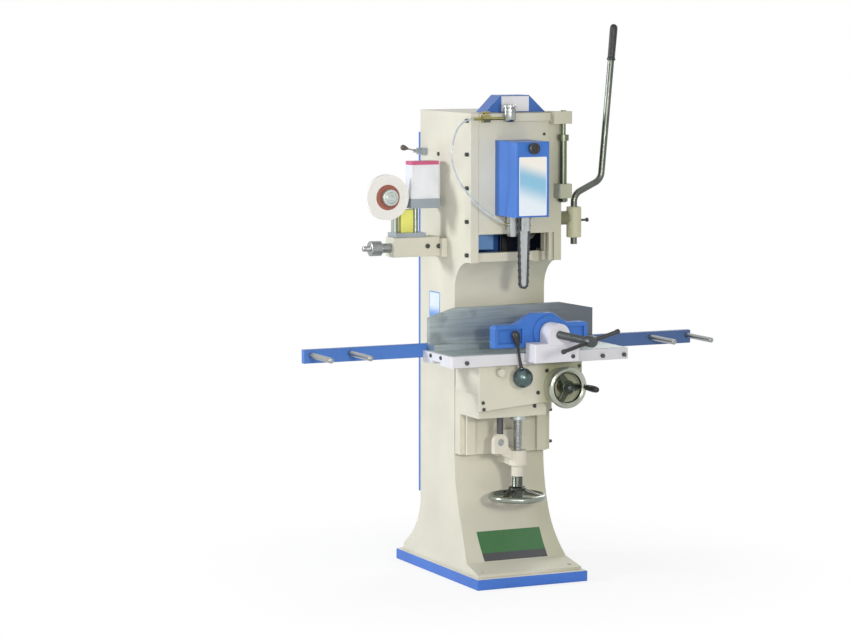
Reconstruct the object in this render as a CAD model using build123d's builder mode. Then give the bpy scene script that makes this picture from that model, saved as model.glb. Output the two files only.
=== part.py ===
"""Chain mortiser: a floor machine with a falling chain head, a knee, a cross slide and a vice table."""
import os
from math import asin, cos, degrees, hypot, pi, radians, sin, tan
from build123d import *

os.makedirs("parts", exist_ok=True)

# Frame: origin on the floor under the middle of the base plate, front of the machine towards -Y.

# Clearances
gap = 0.3             # between faces that slide
running = 0.05        # round shafts in their bushes
screw_gap = 0.2       # round fasteners in their holes

# Rounded edges of castings and sheet
casting_edge = 5.0
table_corner = 10.0
sheet_edge = 3.0

# Base plate and its foundation holes
base_width = 404.0
base_depth = 641.0
base_height = 36.0
foundation_x = 320.0
foundation_y = 548.0
foundation_bore = 14.0

# Column casting
column_width = 332.0
column_height = 1550.0
column_wall = 16.0
front_y = -68.0
back_y = 200.0
toe_front_y = -300.0
toe_rear_y = 290.0
toe_rise = 10.0
flare_top = 415.0
flare_end_y = -200.0
flare_end_z = 67.0
rear_flare_top = 236.0
rear_flare_end = 62.0
foot_spread = 24.0
foot_spread_top = 210.0
head_length = 590.0
throat_radius = 100.0
throat_inset = 8.0
head_front_wall = 46.0
sill_height = 29.0

# Knee pad on the column front
pad_front_y = -111.0
pad_bottom = flare_top
pad_top = 700.0
lip_half = 148.0
lip_depth = 20.0
neck_half = 124.0

# Head slide: keepers, gib, plate and tongue
keeper_depth = 14.0
left_keeper = 28.0
right_keeper = 46.0
gib_thick = 6.0
left_land = 16.0
right_land = 12.0
tongue_depth = 17.7
plate_proud = 2.0
plate_drop = 28.0
plate_height = 369.0

# Motor and chain drive
spindle_x = -20.0
spindle_drop = 202.0
motor_radius = 95.0
motor_rear_y = 80.0
shaft_radius = 12.0
chain_y = -283.0
link_pitch = 11.5
link_count = 66
link_height = 7.0
link_width = 12.0
link_space = 0.5
sprocket_teeth = 12
nose_radius = 13.0
bar_thick = 6.0
oil_groove = 3.0

# Chain cover
cover_left = -79.0
cover_right = 43.0
cover_front_y = -344.0
cover_below = 104.0
cover_above = 141.0
cover_wall = 3.0

# Feed lever, pinion and rack
gear_module = 2.5
backlash = 0.9
feed_teeth = 52
feed_y = -75.0
feed_rise = 37.0
feed_width = 22.0
feed_left = 84.0
feed_shaft_radius = 15.0
feed_bush_radius = 23.0
feed_bush_end = 246.0
lever_x = 274.0
lever_radius = 11.0
boss_radius = 25.0
boss_below = 66.0
boss_above = 37.0
lever_tail = 89.0
lever_first_rise = 78.0
lever_second_out = 102.0
lever_second_rise = 126.0
lever_end_out = 138.0
lever_end_rise = 525.0
lever_bend = 40.0
grip_radius = 13.0
grip_length = 122.0

# Depth stop on the right of the head
stop_x = 161.0
stop_y = -212.0
stop_radius = 12.0
stop_neck = 8.0
stop_block_drop = 208.0
stop_block_height = 47.0
stop_collar_drop = 66.0
bar_height = 26.0

# Balance drum under the hood
drum_x = 20.0
drum_drop = 38.0
drum_y = -125.0
drum_width = 20.0
drum_radius = 86.0
drum_pin_radius = 8.0
balance_chain_radius = 3.0
hood_front_y = -160.0
hood_rear_y = -90.0
hood_height = 56.0
hood_wall = 3.0

# Knee, elevating screw and handwheel
knee_half = 166.0
knee_front_y = -248.0
knee_right = 84.0
knee_top_plate = 30.0
knee_bottom = 554.0
knee_height = 86.0
knee_wall = 12.0
skirt_length = 137.0
skirt_depth = 16.0
skirt_half = 148.0
rail_half = 60.0
rail_height = 10.0
keeper_rear_y = -72.0
elevator_x = -5.0
elevator_y = -214.0
elevator_radius = 15.0
journal_radius = 11.0
elevator_rise = 40.0
bracket_half = 36.0
bracket_below = 10.0
bracket_above = 80.0
screw_boss_below = 27.0
screw_boss_height = 50.0
lower_boss_height = 37.0
guide_x = -70.0
eye_half = 25.0
eye_depth = 24.0
eye_height = 65.0
guide_radius = 11.0
post_rise = 26.0
big_wheel_radius = 97.5
big_wheel_drop = 69.0
rim_radius = 10.0

# Saddle, cross screw and front wheel
saddle_half = 190.0
saddle_front_y = -300.0
saddle_rear_y = -125.0
saddle_height = 96.7
apron_depth = 16.0
apron_left_drop = 153.7
apron_right_drop = 131.7
cross_x = 106.0
cross_rise = 16.0
cross_radius = 9.0
small_wheel_radius = 69.5
small_wheel_y = -355.0
small_rim_radius = 11.0

# Table, fence and long support
table_left = -305.0
table_right = 345.0
table_front_y = -335.0
table_rear_y = -117.0
table_depth = 26.3
table_plate = 12.0
guide_front_y = -250.0
guide_rear_y = -190.0
guide_rise = 11.0
fence_depth = 18.0
fence_flange = 40.0
fence_flange_height = 21.0
beam_left = -726.0
beam_right = 704.0
beam_depth = 23.0
beam_drop = 25.0
beam_height = 45.0
support_rod_radius = 9.0
support_rod_length = 168.0
support_rod_x = [-702.0, -565.0, 547.0, 690.0]

# Table lever and its pinion
table_teeth = 32
table_pinion_x = -56.0
table_pinion_drop = 40.7
table_pinion_width = 16.0
table_pinion_rear_y = -263.0
table_shaft_radius = 10.0
table_lever_y = -352.0
lever_ball_radius = 33.0

# Clamp
clamp_x = 45.0
clamp_rise = 63.0
clamp_block_left = -43.0
clamp_block_right = 120.0
clamp_front_y = -415.0
clamp_block_lift = 12.0
clamp_block_rise = 35.0
clamp_barrel_radius = 36.0
clamp_barrel_rear_y = -346.0
clamp_screw_radius = 13.0
clamp_screw_end_y = -628.0
jaw_front_y = -340.0
jaw_rear_y = -298.0
tommy_radius = 8.0
tommy_length = 215.0
tommy_tilt = 16.0

# Chain sharpener on the left of the column
sharp_y = 40.0
sharp_rise = 40.0
sharp_screw_radius = 7.0
arm_left = -352.0
arm_front_y = 8.0
arm_rear_y = 74.0
arm_below = 30.0
arm_above = 36.0
stone_x = -373.0
stone_rise = 170.0
stone_y = 18.0
stone_radius = 75.0
stone_thick = 20.0
spindle_pin_radius = 8.0

# Worked out from the sizes above
base_top = base_height
half_width = column_width / 2
throat_z = column_height - head_length
plate_top = column_height - plate_drop
plate_bottom = plate_top - plate_height
spindle_z = plate_top - spindle_drop
cover_bottom = spindle_z - cover_below
cover_top = spindle_z + cover_above
feed_z = plate_bottom + feed_rise
boss_bottom = feed_z - boss_below
boss_top = feed_z + boss_above
stop_block_top = plate_top - stop_block_drop
stop_block_bottom = stop_block_top - stop_block_height
stop_collar_z = plate_top - stop_collar_drop
bar_bottom = plate_top
drum_z = column_height - drum_drop
knee_top = knee_bottom + knee_height
skirt_bottom = knee_bottom - skirt_length
elevator_top = knee_bottom + elevator_rise
guide_top = knee_bottom + post_rise
bracket_bottom = pad_bottom - bracket_below
bracket_top = pad_bottom + bracket_above
screw_boss = (pad_bottom - screw_boss_below, pad_bottom - screw_boss_below + screw_boss_height)
lower_boss_bottom = screw_boss[0] - lower_boss_height
big_wheel_z = lower_boss_bottom - big_wheel_drop
saddle_top = knee_top + saddle_height
apron_left_z = saddle_top - apron_left_drop
apron_right_z = saddle_top - apron_right_drop
cross_z = knee_top + cross_rise
table_frame_top = saddle_top + table_depth
table_pinion_z = saddle_top - table_pinion_drop
head_front_y = front_y - throat_radius - throat_inset
head_bottom = throat_z + throat_radius
sharp_screw_z = head_bottom + sharp_rise
arm_bottom = sharp_screw_z - arm_below
arm_top = sharp_screw_z + arm_above
stone_z = sharp_screw_z + stone_rise
window_bottom = head_bottom + sill_height
roof_bottom = column_height - column_wall
head_inner_y = head_front_y + head_front_wall
window_left = -half_width + left_keeper
window_right = half_width - right_keeper
groove_left = window_left - left_land
groove_right = window_right + right_land + gap
groove_rear_y = head_front_y + tongue_depth + 2 * gap
tongue_left = groove_left + gib_thick
tongue_right = window_right + right_land
tongue_front_y = head_front_y + gap
tongue_rear_y = tongue_front_y + tongue_depth
keeper_front_y = head_front_y - keeper_depth
plate_front_y = keeper_front_y - plate_proud
feed_radius = gear_module * feed_teeth / 2
feed_right = feed_left + feed_width
rack_pitch_y = feed_y - feed_radius
table_radius = gear_module * table_teeth / 2
table_bottom = saddle_top + gap
table_top = table_frame_top + table_plate
beam_bottom = table_top - beam_drop
clamp_z = table_top + clamp_rise
clamp_block_bottom = table_bottom + clamp_block_lift
clamp_block_top = table_top + clamp_block_rise
knee_rear_y = pad_front_y - gap
sprocket_radius = link_pitch / (2 * sin(pi / sprocket_teeth))
drum_lug_y = drum_y + drum_width / 2 + 4


def save(piece, label):
    """Name a finished piece and write it."""
    piece.part.label = label
    export_step(piece.part, f"parts/{label}.step")


def block(xs, ys, zs, mode=Mode.ADD):
    """A box between two limits along each axis."""
    with Locations(((xs[0] + xs[1]) / 2, (ys[0] + ys[1]) / 2, (zs[0] + zs[1]) / 2)):
        Box(xs[1] - xs[0], ys[1] - ys[0], zs[1] - zs[0], mode=mode)


def rod_x(radius, xs, y, z, mode=Mode.ADD):
    """A round bar along X."""
    with Locations(Location(((xs[0] + xs[1]) / 2, y, z), (0, 90, 0))):
        Cylinder(radius, xs[1] - xs[0], mode=mode)


def rod_y(radius, x, ys, z, mode=Mode.ADD):
    """A round bar along Y."""
    with Locations(Location((x, (ys[0] + ys[1]) / 2, z), (90, 0, 0))):
        Cylinder(radius, ys[1] - ys[0], mode=mode)


def rod_z(radius, x, y, zs, mode=Mode.ADD):
    """A round bar along Z."""
    with Locations((x, y, (zs[0] + zs[1]) / 2)):
        Cylinder(radius, zs[1] - zs[0], mode=mode)


def hexagon_x(across, xs, y, z):
    """A hexagon bolt head along X."""
    with BuildSketch(Plane(origin=(xs[0], y, z), x_dir=(0, 1, 0), z_dir=(1, 0, 0))) as flat:
        RegularPolygon(across / 2, 6, major_radius=False)
    extrude(flat.sketch, amount=xs[1] - xs[0])


def hexagon_y(across, x, ys, z):
    """A hexagon bolt head along Y."""
    with BuildSketch(Plane(origin=(x, ys[0], z), x_dir=(1, 0, 0), z_dir=(0, 1, 0))) as flat:
        RegularPolygon(across / 2, 6, major_radius=False)
    extrude(flat.sketch, amount=ys[1] - ys[0])


def gear_points(teeth, phase):
    """The outline of a spur gear; a gap between teeth points along the phase angle."""
    pitch_radius = gear_module * teeth / 2
    half_tooth = (pi * gear_module / 2 - backlash) / 2
    heights = [-1.25 * gear_module, gear_module, gear_module, -1.25 * gear_module]
    sides = [-1, -1, 1, 1]
    points = []
    for tooth in range(teeth):
        middle = phase + (tooth + 0.5) * 2 * pi / teeth
        for height, side in zip(heights, sides):
            across = half_tooth - height * tan(radians(20))
            angle = middle + side * across / pitch_radius
            reach = pitch_radius + height
            points.append((reach * cos(angle), reach * sin(angle)))
    return points


def rack_points(start, end, middle, back):
    """The outline of a straight rack whose pitch line is zero; a tooth stands at the middle value."""
    step = pi * gear_module
    half_tooth = (step / 2 - backlash) / 2
    first = int((start - middle) / step) + 1
    last = int((end - middle) / step) - 1
    points = [(start, back), (start, -1.25 * gear_module)]
    for tooth in range(first, last + 1):
        place = middle + tooth * step
        for height, side in [(-1.25, -1), (1, -1), (1, 1), (-1.25, 1)]:
            across = half_tooth - height * gear_module * tan(radians(20))
            points.append((place + side * across, height * gear_module))
    points += [(end, -1.25 * gear_module), (end, back)]
    return points


def handwheel(radius, rim, hub_radius, hub_length, bore):
    """A three-spoked handwheel about the local Z axis, its hub rising from the rim."""
    Torus(radius - rim, rim)
    rod_z(hub_radius, 0, 0, (-rim, hub_length))
    spoke = radius - rim - hub_radius / 2
    with PolarLocations(hub_radius / 2 + spoke / 2, 3):
        Box(spoke, 2.4 * rim, rim)
    rod_z(bore, 0, 0, (-rim - 1, hub_length + 1), mode=Mode.SUBTRACT)


# Base plate with the foundation holes
with BuildPart() as base_plate:
    with Locations((0, 0, base_height / 2)):
        Box(base_width, base_depth, base_height)
    chamfer(base_plate.faces().sort_by(Axis.Z)[-1].edges(), length=3)
    with GridLocations(foundation_x, foundation_y, 2, 2):
        Cylinder(foundation_bore / 2, 3 * base_height, mode=Mode.SUBTRACT)
save(base_plate, "base_plate")

# Column casting: side outline, hollow, slide groove, window and knee pad
with BuildPart() as column_casting:
    with BuildSketch(Plane.YZ) as outline:
        with BuildLine():
            Line((toe_rear_y, base_top), (toe_front_y, base_top))
            Line((toe_front_y, base_top), (toe_front_y, base_top + toe_rise))
            Line((toe_front_y, base_top + toe_rise), (flare_end_y, flare_end_z))
            TangentArc((front_y, flare_top), (flare_end_y, flare_end_z), tangent=(0, -1))
            Line((front_y, flare_top), (front_y, throat_z))
            TangentArc((front_y, throat_z), (front_y - throat_radius, head_bottom), tangent=(0, 1))
            Line((front_y - throat_radius, head_bottom), (head_front_y, head_bottom))
            Line((head_front_y, head_bottom), (head_front_y, column_height))
            Line((head_front_y, column_height), (back_y, column_height))
            Line((back_y, column_height), (back_y, rear_flare_top))
            TangentArc((back_y, rear_flare_top), (toe_rear_y, rear_flare_end), tangent=(0, -1))
            Line((toe_rear_y, rear_flare_end), (toe_rear_y, base_top))
        make_face()
    extrude(amount=half_width + foot_spread, both=True)
    with BuildSketch(Plane.XZ) as side_cut:
        with BuildLine():
            Line((half_width, foot_spread_top), (half_width, 2 * column_height))
            Line((half_width, 2 * column_height), (base_width, 2 * column_height))
            Line((base_width, 2 * column_height), (base_width, base_top + toe_rise))
            Line((base_width, base_top + toe_rise), (half_width + foot_spread, base_top + toe_rise))
            TangentArc((half_width, foot_spread_top),
                       (half_width + foot_spread, base_top + toe_rise), tangent=(0, -1))
        make_face()
        mirror(about=Plane.YZ)
    extrude(amount=base_depth, both=True, mode=Mode.SUBTRACT)
    inner_front_y = front_y + column_wall + 2
    with BuildSketch(Plane.YZ) as hollow:
        with BuildLine():
            Polyline((inner_front_y, flare_top), (inner_front_y, throat_z + 40),
                     (head_inner_y + 10, window_bottom), (head_inner_y, window_bottom),
                     (head_inner_y, roof_bottom), (back_y - column_wall, roof_bottom),
                     (back_y - column_wall, base_top + column_wall),
                     (inner_front_y - 60, base_top + column_wall), close=True)
        make_face()
    extrude(amount=half_width - column_wall, both=True, mode=Mode.SUBTRACT)
    panel_bottom = rear_flare_top + 2 * column_wall
    panel_top = column_height - 6 * column_wall
    block((-half_width + 2 * column_wall, half_width - 2 * column_wall),
          (back_y - 2 * column_wall, back_y + column_wall),
          (panel_bottom + column_wall, panel_top - column_wall), Mode.SUBTRACT)
    block((groove_left, groove_right), (head_front_y - gap, groove_rear_y),
          (head_bottom - 2 * column_wall, column_height + 1), Mode.SUBTRACT)
    block((window_left, window_right), (groove_rear_y - 1, head_inner_y + 1),
          (window_bottom, roof_bottom), Mode.SUBTRACT)
    block((feed_left - 6, feed_right + 6), (groove_rear_y - 1, rack_pitch_y + 8),
          (head_bottom - 2 * column_wall, window_bottom + 1), Mode.SUBTRACT)
    block((-neck_half, neck_half), (pad_front_y, front_y), (pad_bottom, pad_top))
    block((-lip_half, lip_half), (pad_front_y, pad_front_y + lip_depth), (pad_bottom, pad_top))
    block((drum_x - drum_radius - 4, drum_x + drum_radius + 4),
          (drum_y - drum_width / 2 - 2, drum_y + drum_width / 2 + 2),
          (roof_bottom - 1, column_height + 1), Mode.SUBTRACT)
    block((drum_x - 20, drum_x + 20), (drum_lug_y, drum_lug_y + 12), (drum_z - 20, roof_bottom + 1))
    rod_y(drum_pin_radius, drum_x, (drum_y - drum_width / 2 - 3, drum_lug_y + 1), drum_z)
    rod_y(drum_pin_radius + 5, drum_x, (drum_y + drum_width / 2 + gap, drum_lug_y + 1), drum_z)
    rod_x(feed_bush_radius + running, (0, half_width + 1), feed_y, feed_z, Mode.SUBTRACT)
    with GridLocations(foundation_x, foundation_y, 2, 2):
        Cylinder(foundation_bore / 2, 2 * flare_end_z + 3 * base_height, mode=Mode.SUBTRACT)
    gib_bolt_z = [head_bottom + 25 + 110 * step for step in range(5)]
    for bolt_z in gib_bolt_z:
        rod_x(4 + screw_gap, (-half_width - 1, groove_left + 1), head_front_y + 9, bolt_z, Mode.SUBTRACT)
save(column_casting, "column_casting")

# Rear panel: a shallow pan over the opening in the back of the column
panel_depth = 28.0
panel_sheet = 3.0
panel_half = half_width - 6
with BuildPart() as rear_panel:
    block((-panel_half, panel_half), (back_y, back_y + panel_depth), (panel_bottom - 20, panel_top + 20))
    block((-panel_half + panel_sheet, panel_half - panel_sheet),
          (back_y - 1, back_y + panel_depth - panel_sheet),
          (panel_bottom - 20 + panel_sheet, panel_top + 20 - panel_sheet), Mode.SUBTRACT)
    tab_x = panel_half - panel_sheet - 12
    screw_z = [panel_bottom - 5, (panel_bottom + panel_top) / 2, panel_top + 5]
    for place_z in screw_z:
        for side in (-1, 1):
            rod_y(9, side * tab_x, (back_y, back_y + panel_depth), place_z)
            rod_y(4 + screw_gap, side * tab_x, (back_y - 1, back_y + panel_depth + 1), place_z,
                  Mode.SUBTRACT)
save(rear_panel, "rear_panel")

# Two keepers that hold the head slide in its groove, and the gib beside its tongue
with BuildPart() as head_keepers:
    block((-half_width, window_left), (keeper_front_y, head_front_y), (head_bottom, column_height))
    block((window_right, half_width), (keeper_front_y, head_front_y), (head_bottom, column_height))
    block((window_right + 11, window_right + 20), (keeper_front_y - 1, keeper_front_y + 10),
          (head_bottom - 1, plate_bottom), Mode.SUBTRACT)
    block((groove_left, tongue_left - gap), (tongue_front_y, tongue_rear_y), (head_bottom, column_height))
save(head_keepers, "head_keepers")

# Chain sharpener bracket bolted to the left of the column
flange_depth = 20.0
flange_x = -half_width - flange_depth
sharp_bolt_y = [96.0, 134.0]
sharp_bolt_z = sharp_screw_z + 5
slot_half = 15.0
with BuildPart() as sharpener_bracket:
    block((flange_x, -half_width), (-11, 152), (arm_bottom - 2, arm_top - 6))
    block((arm_left, flange_x), (arm_front_y, arm_rear_y), (arm_bottom, arm_top))
    fillet(sharpener_bracket.edges().filter_by(Axis.X).group_by(Axis.X)[0], radius=casting_edge)
    block((arm_left + 12, flange_x - 20), (sharp_y - slot_half, sharp_y + slot_half),
          (sharp_screw_z - slot_half, arm_top + 1), Mode.SUBTRACT)
    rod_x(sharp_screw_radius + running, (arm_left - 1, arm_left + 13), sharp_y, sharp_screw_z,
          Mode.SUBTRACT)
    for bolt_y in sharp_bolt_y:
        rod_x(5 + screw_gap, (flange_x - 1, -half_width + 1), bolt_y, sharp_bolt_z, Mode.SUBTRACT)
save(sharpener_bracket, "sharpener_bracket")

# Gib screws and bracket bolts on the left face, and the screws of the rear panel
with BuildPart() as column_bolts:
    for bolt_z in gib_bolt_z:
        rod_x(4, (-half_width, groove_left), head_front_y + 9, bolt_z)
        hexagon_x(13, (-half_width - 9, -half_width), head_front_y + 9, bolt_z)
    for bolt_y in sharp_bolt_y:
        rod_x(5, (flange_x, -half_width), bolt_y, sharp_bolt_z)
        hexagon_x(17, (flange_x - 9, flange_x), bolt_y, sharp_bolt_z)
    for place_z in screw_z:
        for side in (-1, 1):
            rod_y(4, side * tab_x, (back_y, back_y + panel_depth), place_z)
            rod_y(7, side * tab_x, (back_y + panel_depth, back_y + panel_depth + 5), place_z)
save(column_bolts, "column_bolts")

# Hood over the balance drum, with a plain plate on its front
hood_top_z = column_height + hood_height
hood_feet = (drum_x - 120, drum_x + 100)
hood_crown = (drum_x - 64, drum_x + 40)
with BuildPart() as balance_hood:
    with BuildSketch(Plane.XZ.offset(-hood_rear_y)):
        with BuildLine():
            Polyline((hood_feet[0], column_height), (hood_feet[1], column_height),
                     (hood_crown[1], hood_top_z), (hood_crown[0], hood_top_z), close=True)
        make_face()
    extrude(amount=hood_rear_y - hood_front_y)
    fillet(balance_hood.edges().group_by(Axis.Z)[-1], radius=sheet_edge)
    with BuildSketch(Plane.XZ.offset(-hood_rear_y + hood_wall)):
        with BuildLine():
            Polyline((hood_feet[0] + 1.5 * hood_wall, column_height - 1),
                     (hood_feet[1] - 1.5 * hood_wall, column_height - 1),
                     (hood_crown[1] - hood_wall / 2, hood_top_z - hood_wall),
                     (hood_crown[0] + hood_wall / 2, hood_top_z - hood_wall), close=True)
        make_face()
    extrude(amount=hood_rear_y - hood_front_y - 2 * hood_wall, mode=Mode.SUBTRACT)
    block((hood_crown[0] + 2, hood_crown[1] - 2), (hood_front_y - 4, hood_front_y),
          (column_height + 3, hood_top_z - 3))
save(balance_hood, "balance_hood")

# Stop block on the right of the column, bored for the stop rod
stop_half = 24.0
with BuildPart() as stop_block:
    block((stop_x - stop_half, stop_x + stop_half), (stop_y - stop_half, keeper_front_y),
          (stop_block_bottom, stop_block_top))
    rod_z(stop_radius + gap, stop_x, stop_y, (stop_block_bottom - 1, stop_block_top + 1), Mode.SUBTRACT)
    fillet(stop_block.edges().filter_by(Axis.Z).group_by(Axis.Y)[0], radius=8)
save(stop_block, "stop_block")

# Flanged bush for the feed shaft
with BuildPart() as feed_bearing:
    rod_x(feed_bush_radius, (half_width - 36, feed_bush_end), feed_y, feed_z)
    rod_x(feed_bush_radius + 12, (half_width, half_width + 8), feed_y, feed_z)
    rod_x(feed_shaft_radius + running, (half_width - 37, feed_bush_end + 1), feed_y, feed_z, Mode.SUBTRACT)
save(feed_bearing, "feed_bearing")

# Switch block on the left face, with ears and a pin for its lever
switch_y = 170.0
switch_z = column_height - 138
switch_x = -half_width - 28
switch_pin = 2.5
switch_reach = 47.0
switch_ball = 10.0
ear_inner = 9.0
ear_thick = 8.0
with BuildPart() as switch_block:
    block((-half_width - 20, -half_width), (switch_y - 20, switch_y + 20), (switch_z - 12, switch_z + 10))
    for side in (-1, 1):
        near, far = sorted((side * ear_inner, side * (ear_inner + ear_thick)))
        block((switch_x - 5, -half_width - 20), (switch_y + near, switch_y + far),
              (switch_z - 6, switch_z + 6))
    rod_y(switch_pin, switch_x, (switch_y - ear_inner, switch_y + ear_inner), switch_z)
save(switch_block, "switch_block")

with BuildPart() as switch_lever:
    rod_y(6, switch_x, (switch_y - ear_inner + gap, switch_y + ear_inner - gap), switch_z)
    rod_y(switch_pin + running, switch_x, (switch_y - ear_inner, switch_y + ear_inner), switch_z,
          Mode.SUBTRACT)
    with Locations(Location((switch_x - 4, switch_y, switch_z + 1), (0, -76, 0))):
        Cylinder(switch_pin, switch_reach, align=(Align.CENTER, Align.CENTER, Align.MIN))
        with Locations((0, 0, switch_reach)):
            Sphere(switch_ball)
save(switch_lever, "switch_lever")

# Elevating bracket on the knee pad, with the guide post
eye_ys = (elevator_y - eye_depth / 2, elevator_y + eye_depth / 2)
eye_low = bracket_top - eye_height
web_depth = 20.0
web_top = screw_boss[1]
with BuildPart() as elevating_bracket:
    block((-bracket_half, bracket_half), (pad_front_y - 20, pad_front_y), (bracket_bottom, bracket_top))
    block((guide_x - eye_half, guide_x + eye_half), eye_ys, (eye_low, bracket_top - eye_half))
    rod_y(eye_half, guide_x, eye_ys, bracket_top - eye_half)
    with BuildSketch(Plane.XZ.offset(-elevator_y - web_depth / 2)):
        with BuildLine():
            Polyline((guide_x - eye_half + 3, eye_low + 10), (elevator_x, web_top - 46),
                     (elevator_x, web_top - 8), (elevator_x - 25, web_top - 6),
                     (guide_x + eye_half - 3, web_top + 24), close=True)
        make_face()
    extrude(amount=web_depth)
    block((elevator_x - 24, elevator_x + 24), (elevator_y, pad_front_y), screw_boss)
    rod_z(30, elevator_x, elevator_y, screw_boss)
    rod_z(20, elevator_x, elevator_y, (lower_boss_bottom, screw_boss[0]))
    rod_z(journal_radius + running, elevator_x, elevator_y, (lower_boss_bottom - 1, screw_boss[1] + 1),
          Mode.SUBTRACT)
    rod_z(guide_radius, guide_x, elevator_y, (bracket_top - eye_half, guide_top))
save(elevating_bracket, "elevating_bracket")

# Head slide plate with its tongue, the lug for the balance chain and the bar over to the stop rod
bar_front_y = plate_front_y - 12
bar_top = bar_bottom + bar_height
arm_end_x = stop_x + 22
balance_x = drum_x - drum_radius + balance_chain_radius
lug_top = plate_top - 72
lug_bottom = lug_top - 25
with BuildPart() as slide_plate:
    block((window_left + gap, window_right - gap), (plate_front_y, tongue_front_y),
          (plate_bottom, plate_top))
    block((tongue_left, tongue_right), (tongue_front_y, tongue_rear_y), (plate_bottom, plate_top))
    block((balance_x - 8, balance_x + 8), (tongue_rear_y, drum_y + 8), (lug_bottom, lug_top))
    rod_y(20, spindle_x, (plate_front_y - 1, tongue_rear_y + 1), spindle_z, Mode.SUBTRACT)
    block((window_left + gap, window_right - gap), (bar_front_y, tongue_front_y), (bar_bottom, bar_top))
    block((window_right - 20, arm_end_x), (bar_front_y, keeper_front_y - 2 * gap), (bar_bottom, bar_top))
    block((arm_end_x - 66, arm_end_x), (stop_y - 20, keeper_front_y - 2 * gap),
          (bar_bottom - 10, bar_top + 5))
    rod_z(stop_neck + screw_gap, stop_x, stop_y, (bar_bottom - 11, bar_top + 6), Mode.SUBTRACT)
save(slide_plate, "slide_plate")

# Feed rack on the back of the plate
with BuildPart() as feed_rack:
    rack_plane = Plane(origin=(feed_right, rack_pitch_y, 0), x_dir=(0, 0, 1), z_dir=(-1, 0, 0))
    with BuildSketch(rack_plane):
        with BuildLine():
            rack_line = rack_points(plate_bottom + 7, plate_bottom + 197, feed_z,
                                    tongue_rear_y - rack_pitch_y)
            Polyline(*rack_line, close=True)
        make_face()
    extrude(amount=feed_width)
save(feed_rack, "feed_rack")

# Depth stop: rod through the stop block, collar above it and nut below it
with BuildPart() as stop_rod:
    rod_z(stop_radius, stop_x, stop_y, (stop_block_bottom - 14, stop_collar_z + 10))
    chamfer(stop_rod.edges().filter_by(GeomType.CIRCLE), length=1.5)
    rod_z(stop_neck, stop_x, stop_y, (stop_collar_z, bar_top + 8))
    rod_z(stop_radius + 6, stop_x, stop_y, (stop_collar_z, stop_collar_z + 20))
    with BuildSketch(Plane.XY.offset(stop_block_bottom - 11)):
        with Locations((stop_x, stop_y)):
            RegularPolygon(stop_radius + 3, 6, major_radius=False)
    extrude(amount=11 - gap)
save(stop_rod, "stop_rod")

# Motor behind the plate: housing, terminal box, rotor shaft
rotor_radius = 60.0
bell = 24.0
with BuildPart() as motor_housing:
    rod_y(motor_radius, spindle_x, (tongue_rear_y, motor_rear_y), spindle_z)
    rod_y(rotor_radius + 1, spindle_x, (tongue_rear_y + bell, motor_rear_y - bell), spindle_z,
          Mode.SUBTRACT)
    rod_y(shaft_radius + running, spindle_x, (tongue_rear_y - 1, motor_rear_y - 6), spindle_z,
          Mode.SUBTRACT)
save(motor_housing, "motor_housing")

with BuildPart() as terminal_box:
    block((spindle_x - 65, spindle_x + 13), (-40, 30),
          (spindle_z - motor_radius - 135, spindle_z - motor_radius - gap))
    fillet(terminal_box.edges().filter_by(Axis.Z), radius=6)
save(terminal_box, "terminal_box")

with BuildPart() as motor_shaft:
    rod_y(shaft_radius, spindle_x, (chain_y - link_width / 2 - 8, motor_rear_y - 8), spindle_z)
    rod_y(rotor_radius, spindle_x, (tongue_rear_y + bell + 4, motor_rear_y - bell - 4), spindle_z)
save(motor_shaft, "motor_shaft")

# Sprocket on the end of the motor shaft
sprocket_width = 7.0
with BuildPart() as sprocket:
    with BuildSketch(Plane.XZ.offset(-chain_y - sprocket_width / 2)):
        with Locations((spindle_x, spindle_z)):
            Circle(sprocket_radius - link_height / 2 - gap)
            Circle(shaft_radius + running, mode=Mode.SUBTRACT)
    extrude(amount=sprocket_width)
    rod_y(shaft_radius + 4, spindle_x, (chain_y + sprocket_width / 2, chain_y + sprocket_width / 2 + 12),
          spindle_z)
    rod_y(shaft_radius + running, spindle_x, (chain_y, chain_y + 30), spindle_z, Mode.SUBTRACT)
save(sprocket, "sprocket")

# Route of the chain round the sprocket and the nose of the bar
free_run = (link_count * link_pitch - pi * (sprocket_radius + nose_radius)) / 2
centre_distance = hypot(free_run, sprocket_radius - nose_radius)
nose_z = spindle_z - centre_distance
lean = asin((sprocket_radius - nose_radius) / centre_distance)
side_run = centre_distance * cos(lean)
top_arc = sprocket_radius * (pi + 2 * lean)
nose_arc = nose_radius * (pi - 2 * lean)
route_length = 2 * side_run + top_arc + nose_arc


def chain_place(distance):
    """X, Z and heading in degrees at a distance along the chain, from the start of the top arc."""
    if distance < top_arc:
        angle = -lean + distance / sprocket_radius
        return (sprocket_radius * cos(angle), spindle_z + sprocket_radius * sin(angle), degrees(angle) + 90)
    distance -= top_arc
    if distance < side_run:
        angle = pi + lean
        start_x = sprocket_radius * cos(angle)
        start_z = spindle_z + sprocket_radius * sin(angle)
        heading = angle + pi / 2
        return (start_x + distance * cos(heading), start_z + distance * sin(heading), degrees(heading))
    distance -= side_run
    if distance < nose_arc:
        angle = pi + lean + distance / nose_radius
        return (nose_radius * cos(angle), nose_z + nose_radius * sin(angle), degrees(angle) + 90)
    distance -= nose_arc
    angle = -lean
    heading = angle + pi / 2
    start_x = nose_radius * cos(angle)
    start_z = nose_z + nose_radius * sin(angle)
    return (start_x + distance * cos(heading), start_z + distance * sin(heading), degrees(heading))


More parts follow.
